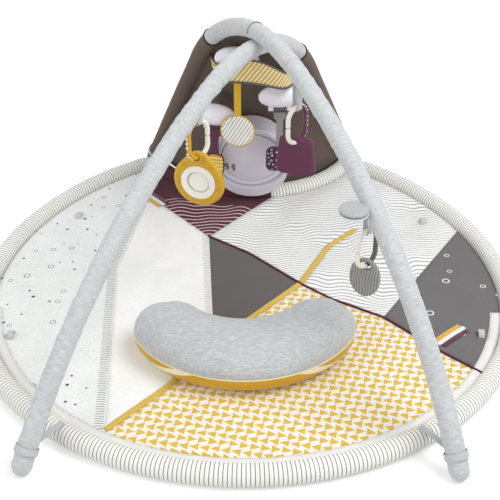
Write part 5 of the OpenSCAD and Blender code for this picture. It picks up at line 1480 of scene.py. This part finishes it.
class GYM_OT_stage(bpy.types.Operator):
    """Sets the white floor, the soft light and the camera"""

    bl_idname = "gym.stage"
    bl_label = "Stage"

    def execute(self, context):
        scene = context.scene
        mesh = bpy.data.meshes.new("studio_floor")
        corners = ((-1, -1), (1, -1), (1, 1), (-1, 1))
        mesh.from_pydata([(x * FLOOR_HALF, y * FLOOR_HALF, 0) for x, y in corners], [], [(0, 1, 2, 3)])
        floor = bpy.data.objects.new("studio_floor", mesh)
        scene.collection.objects.link(floor)
        # Matt white studio floor: shows white to the camera and keeps the object's shadow
        mat = bpy.data.materials.new("matt_white_floor")
        mat.use_nodes = True
        tree = mat.node_tree
        tree.nodes.clear()
        path = add_node(tree, "LightPath").node
        matt = add_node(tree, "BsdfDiffuse", {"Color": (0.8, 0.8, 0.8, 1)})
        glow = add_node(tree, "Emission", {"Color": (1, 1, 1, 1), "Strength": 0.30})
        seen = add_node(tree, "MAXIMUM", [path.outputs["Is Camera Ray"], path.outputs["Is Glossy Ray"]])
        seen = add_node(tree, "MAXIMUM", [seen, path.outputs["Is Transmission Ray"]])
        lit = add_node(tree, "AddShader", [matt, glow])
        both = add_node(tree, "MixShader", [seen, matt, lit])
        end = tree.nodes.new("ShaderNodeOutputMaterial")
        tree.links.new(both, end.inputs["Surface"])
        mesh.materials.append(mat)
        world = bpy.data.worlds.new("studio_white")
        scene.world = world
        world.use_nodes = True
        tree = world.node_tree
        tree.nodes.clear()
        path = add_node(tree, "LightPath").node
        soft = add_node(tree, "Background", {"Color": (1, 1, 1, 1), "Strength": 0.70})
        white = add_node(tree, "Background", {"Color": (1, 1, 1, 1), "Strength": 1.0})
        seen = add_node(tree, "MAXIMUM",
            [path.outputs["Is Camera Ray"], path.outputs["Is Transmission Ray"]])
        both = add_node(tree, "MixShader", [seen, soft, white])
        end = tree.nodes.new("ShaderNodeOutputWorld")
        tree.links.new(both, end.inputs["Surface"])
        for name, energy, size, at, to in (
                ("key_softbox", 40.0, 1.6, (1.4, -0.6, 2.4), (0, 0, 0.1)),
                ("fill_softbox", 16.0, 2.0, (-1.8, -1.4, 1.6), (0, 0, 0.15))):
            light = bpy.data.lights.new(name, "AREA")
            light.energy, light.size = energy, size
            lamp = bpy.data.objects.new(name, light)
            lamp.location = at
            lamp.rotation_euler = (Vector(to) - Vector(at)).to_track_quat("-Z", "Y").to_euler()
            scene.collection.objects.link(lamp)
        camera = bpy.data.cameras.new("photo_camera")
        camera.sensor_width, camera.lens = SENSOR, LENS
        eye = bpy.data.objects.new("photo_camera", camera)
        eye.location = EYE_AT
        level = math.cos(EYE_PITCH)
        look = Vector((-math.sin(EYE_TURN) * level, math.cos(EYE_TURN) * level, -math.sin(EYE_PITCH)))
        eye.rotation_euler = look.to_track_quat("-Z", "Y").to_euler()
        scene.collection.objects.link(eye)
        scene.camera = eye
        scene.view_settings.view_transform = "Standard"
        return {"FINISHED"}


OPERATORS = (GYM_OT_stage, GYM_OT_mat, GYM_OT_rim, GYM_OT_sleeves, GYM_OT_backdrop, GYM_OT_webbing,
    GYM_OT_plastics, GYM_OT_soft_toys, GYM_OT_pillow)


class GYM_PT_panel(bpy.types.Panel):
    """Sizes, colours and the steps that dress the play gym"""

    bl_idname = "GYM_PT_panel"
    bl_label = "Play gym"
    bl_space_type = "VIEW_3D"
    bl_region_type = "UI"
    bl_category = "Play gym"

    def draw(self, context):
        for group in (context.scene.gym_sizes, context.scene.gym_colours):
            for key in group.__annotations__:
                self.layout.prop(group, key)
        for op in OPERATORS:
            self.layout.operator(op.bl_idname)


CLASSES = (GymSizes, GymColours, *OPERATORS, GYM_PT_panel)


def register():
    for cls in CLASSES:
        bpy.utils.register_class(cls)
    bpy.types.Scene.gym_sizes = bpy.props.PointerProperty(type=GymSizes)
    bpy.types.Scene.gym_colours = bpy.props.PointerProperty(type=GymColours)


def unregister():
    del bpy.types.Scene.gym_colours
    del bpy.types.Scene.gym_sizes
    for cls in reversed(CLASSES):
        bpy.utils.unregister_class(cls)


def main():
    register()
    for op in OPERATORS:
        group, name = op.bl_idname.split(".")
        getattr(getattr(bpy.ops, group), name)()


if __name__ == "__main__":
    main()
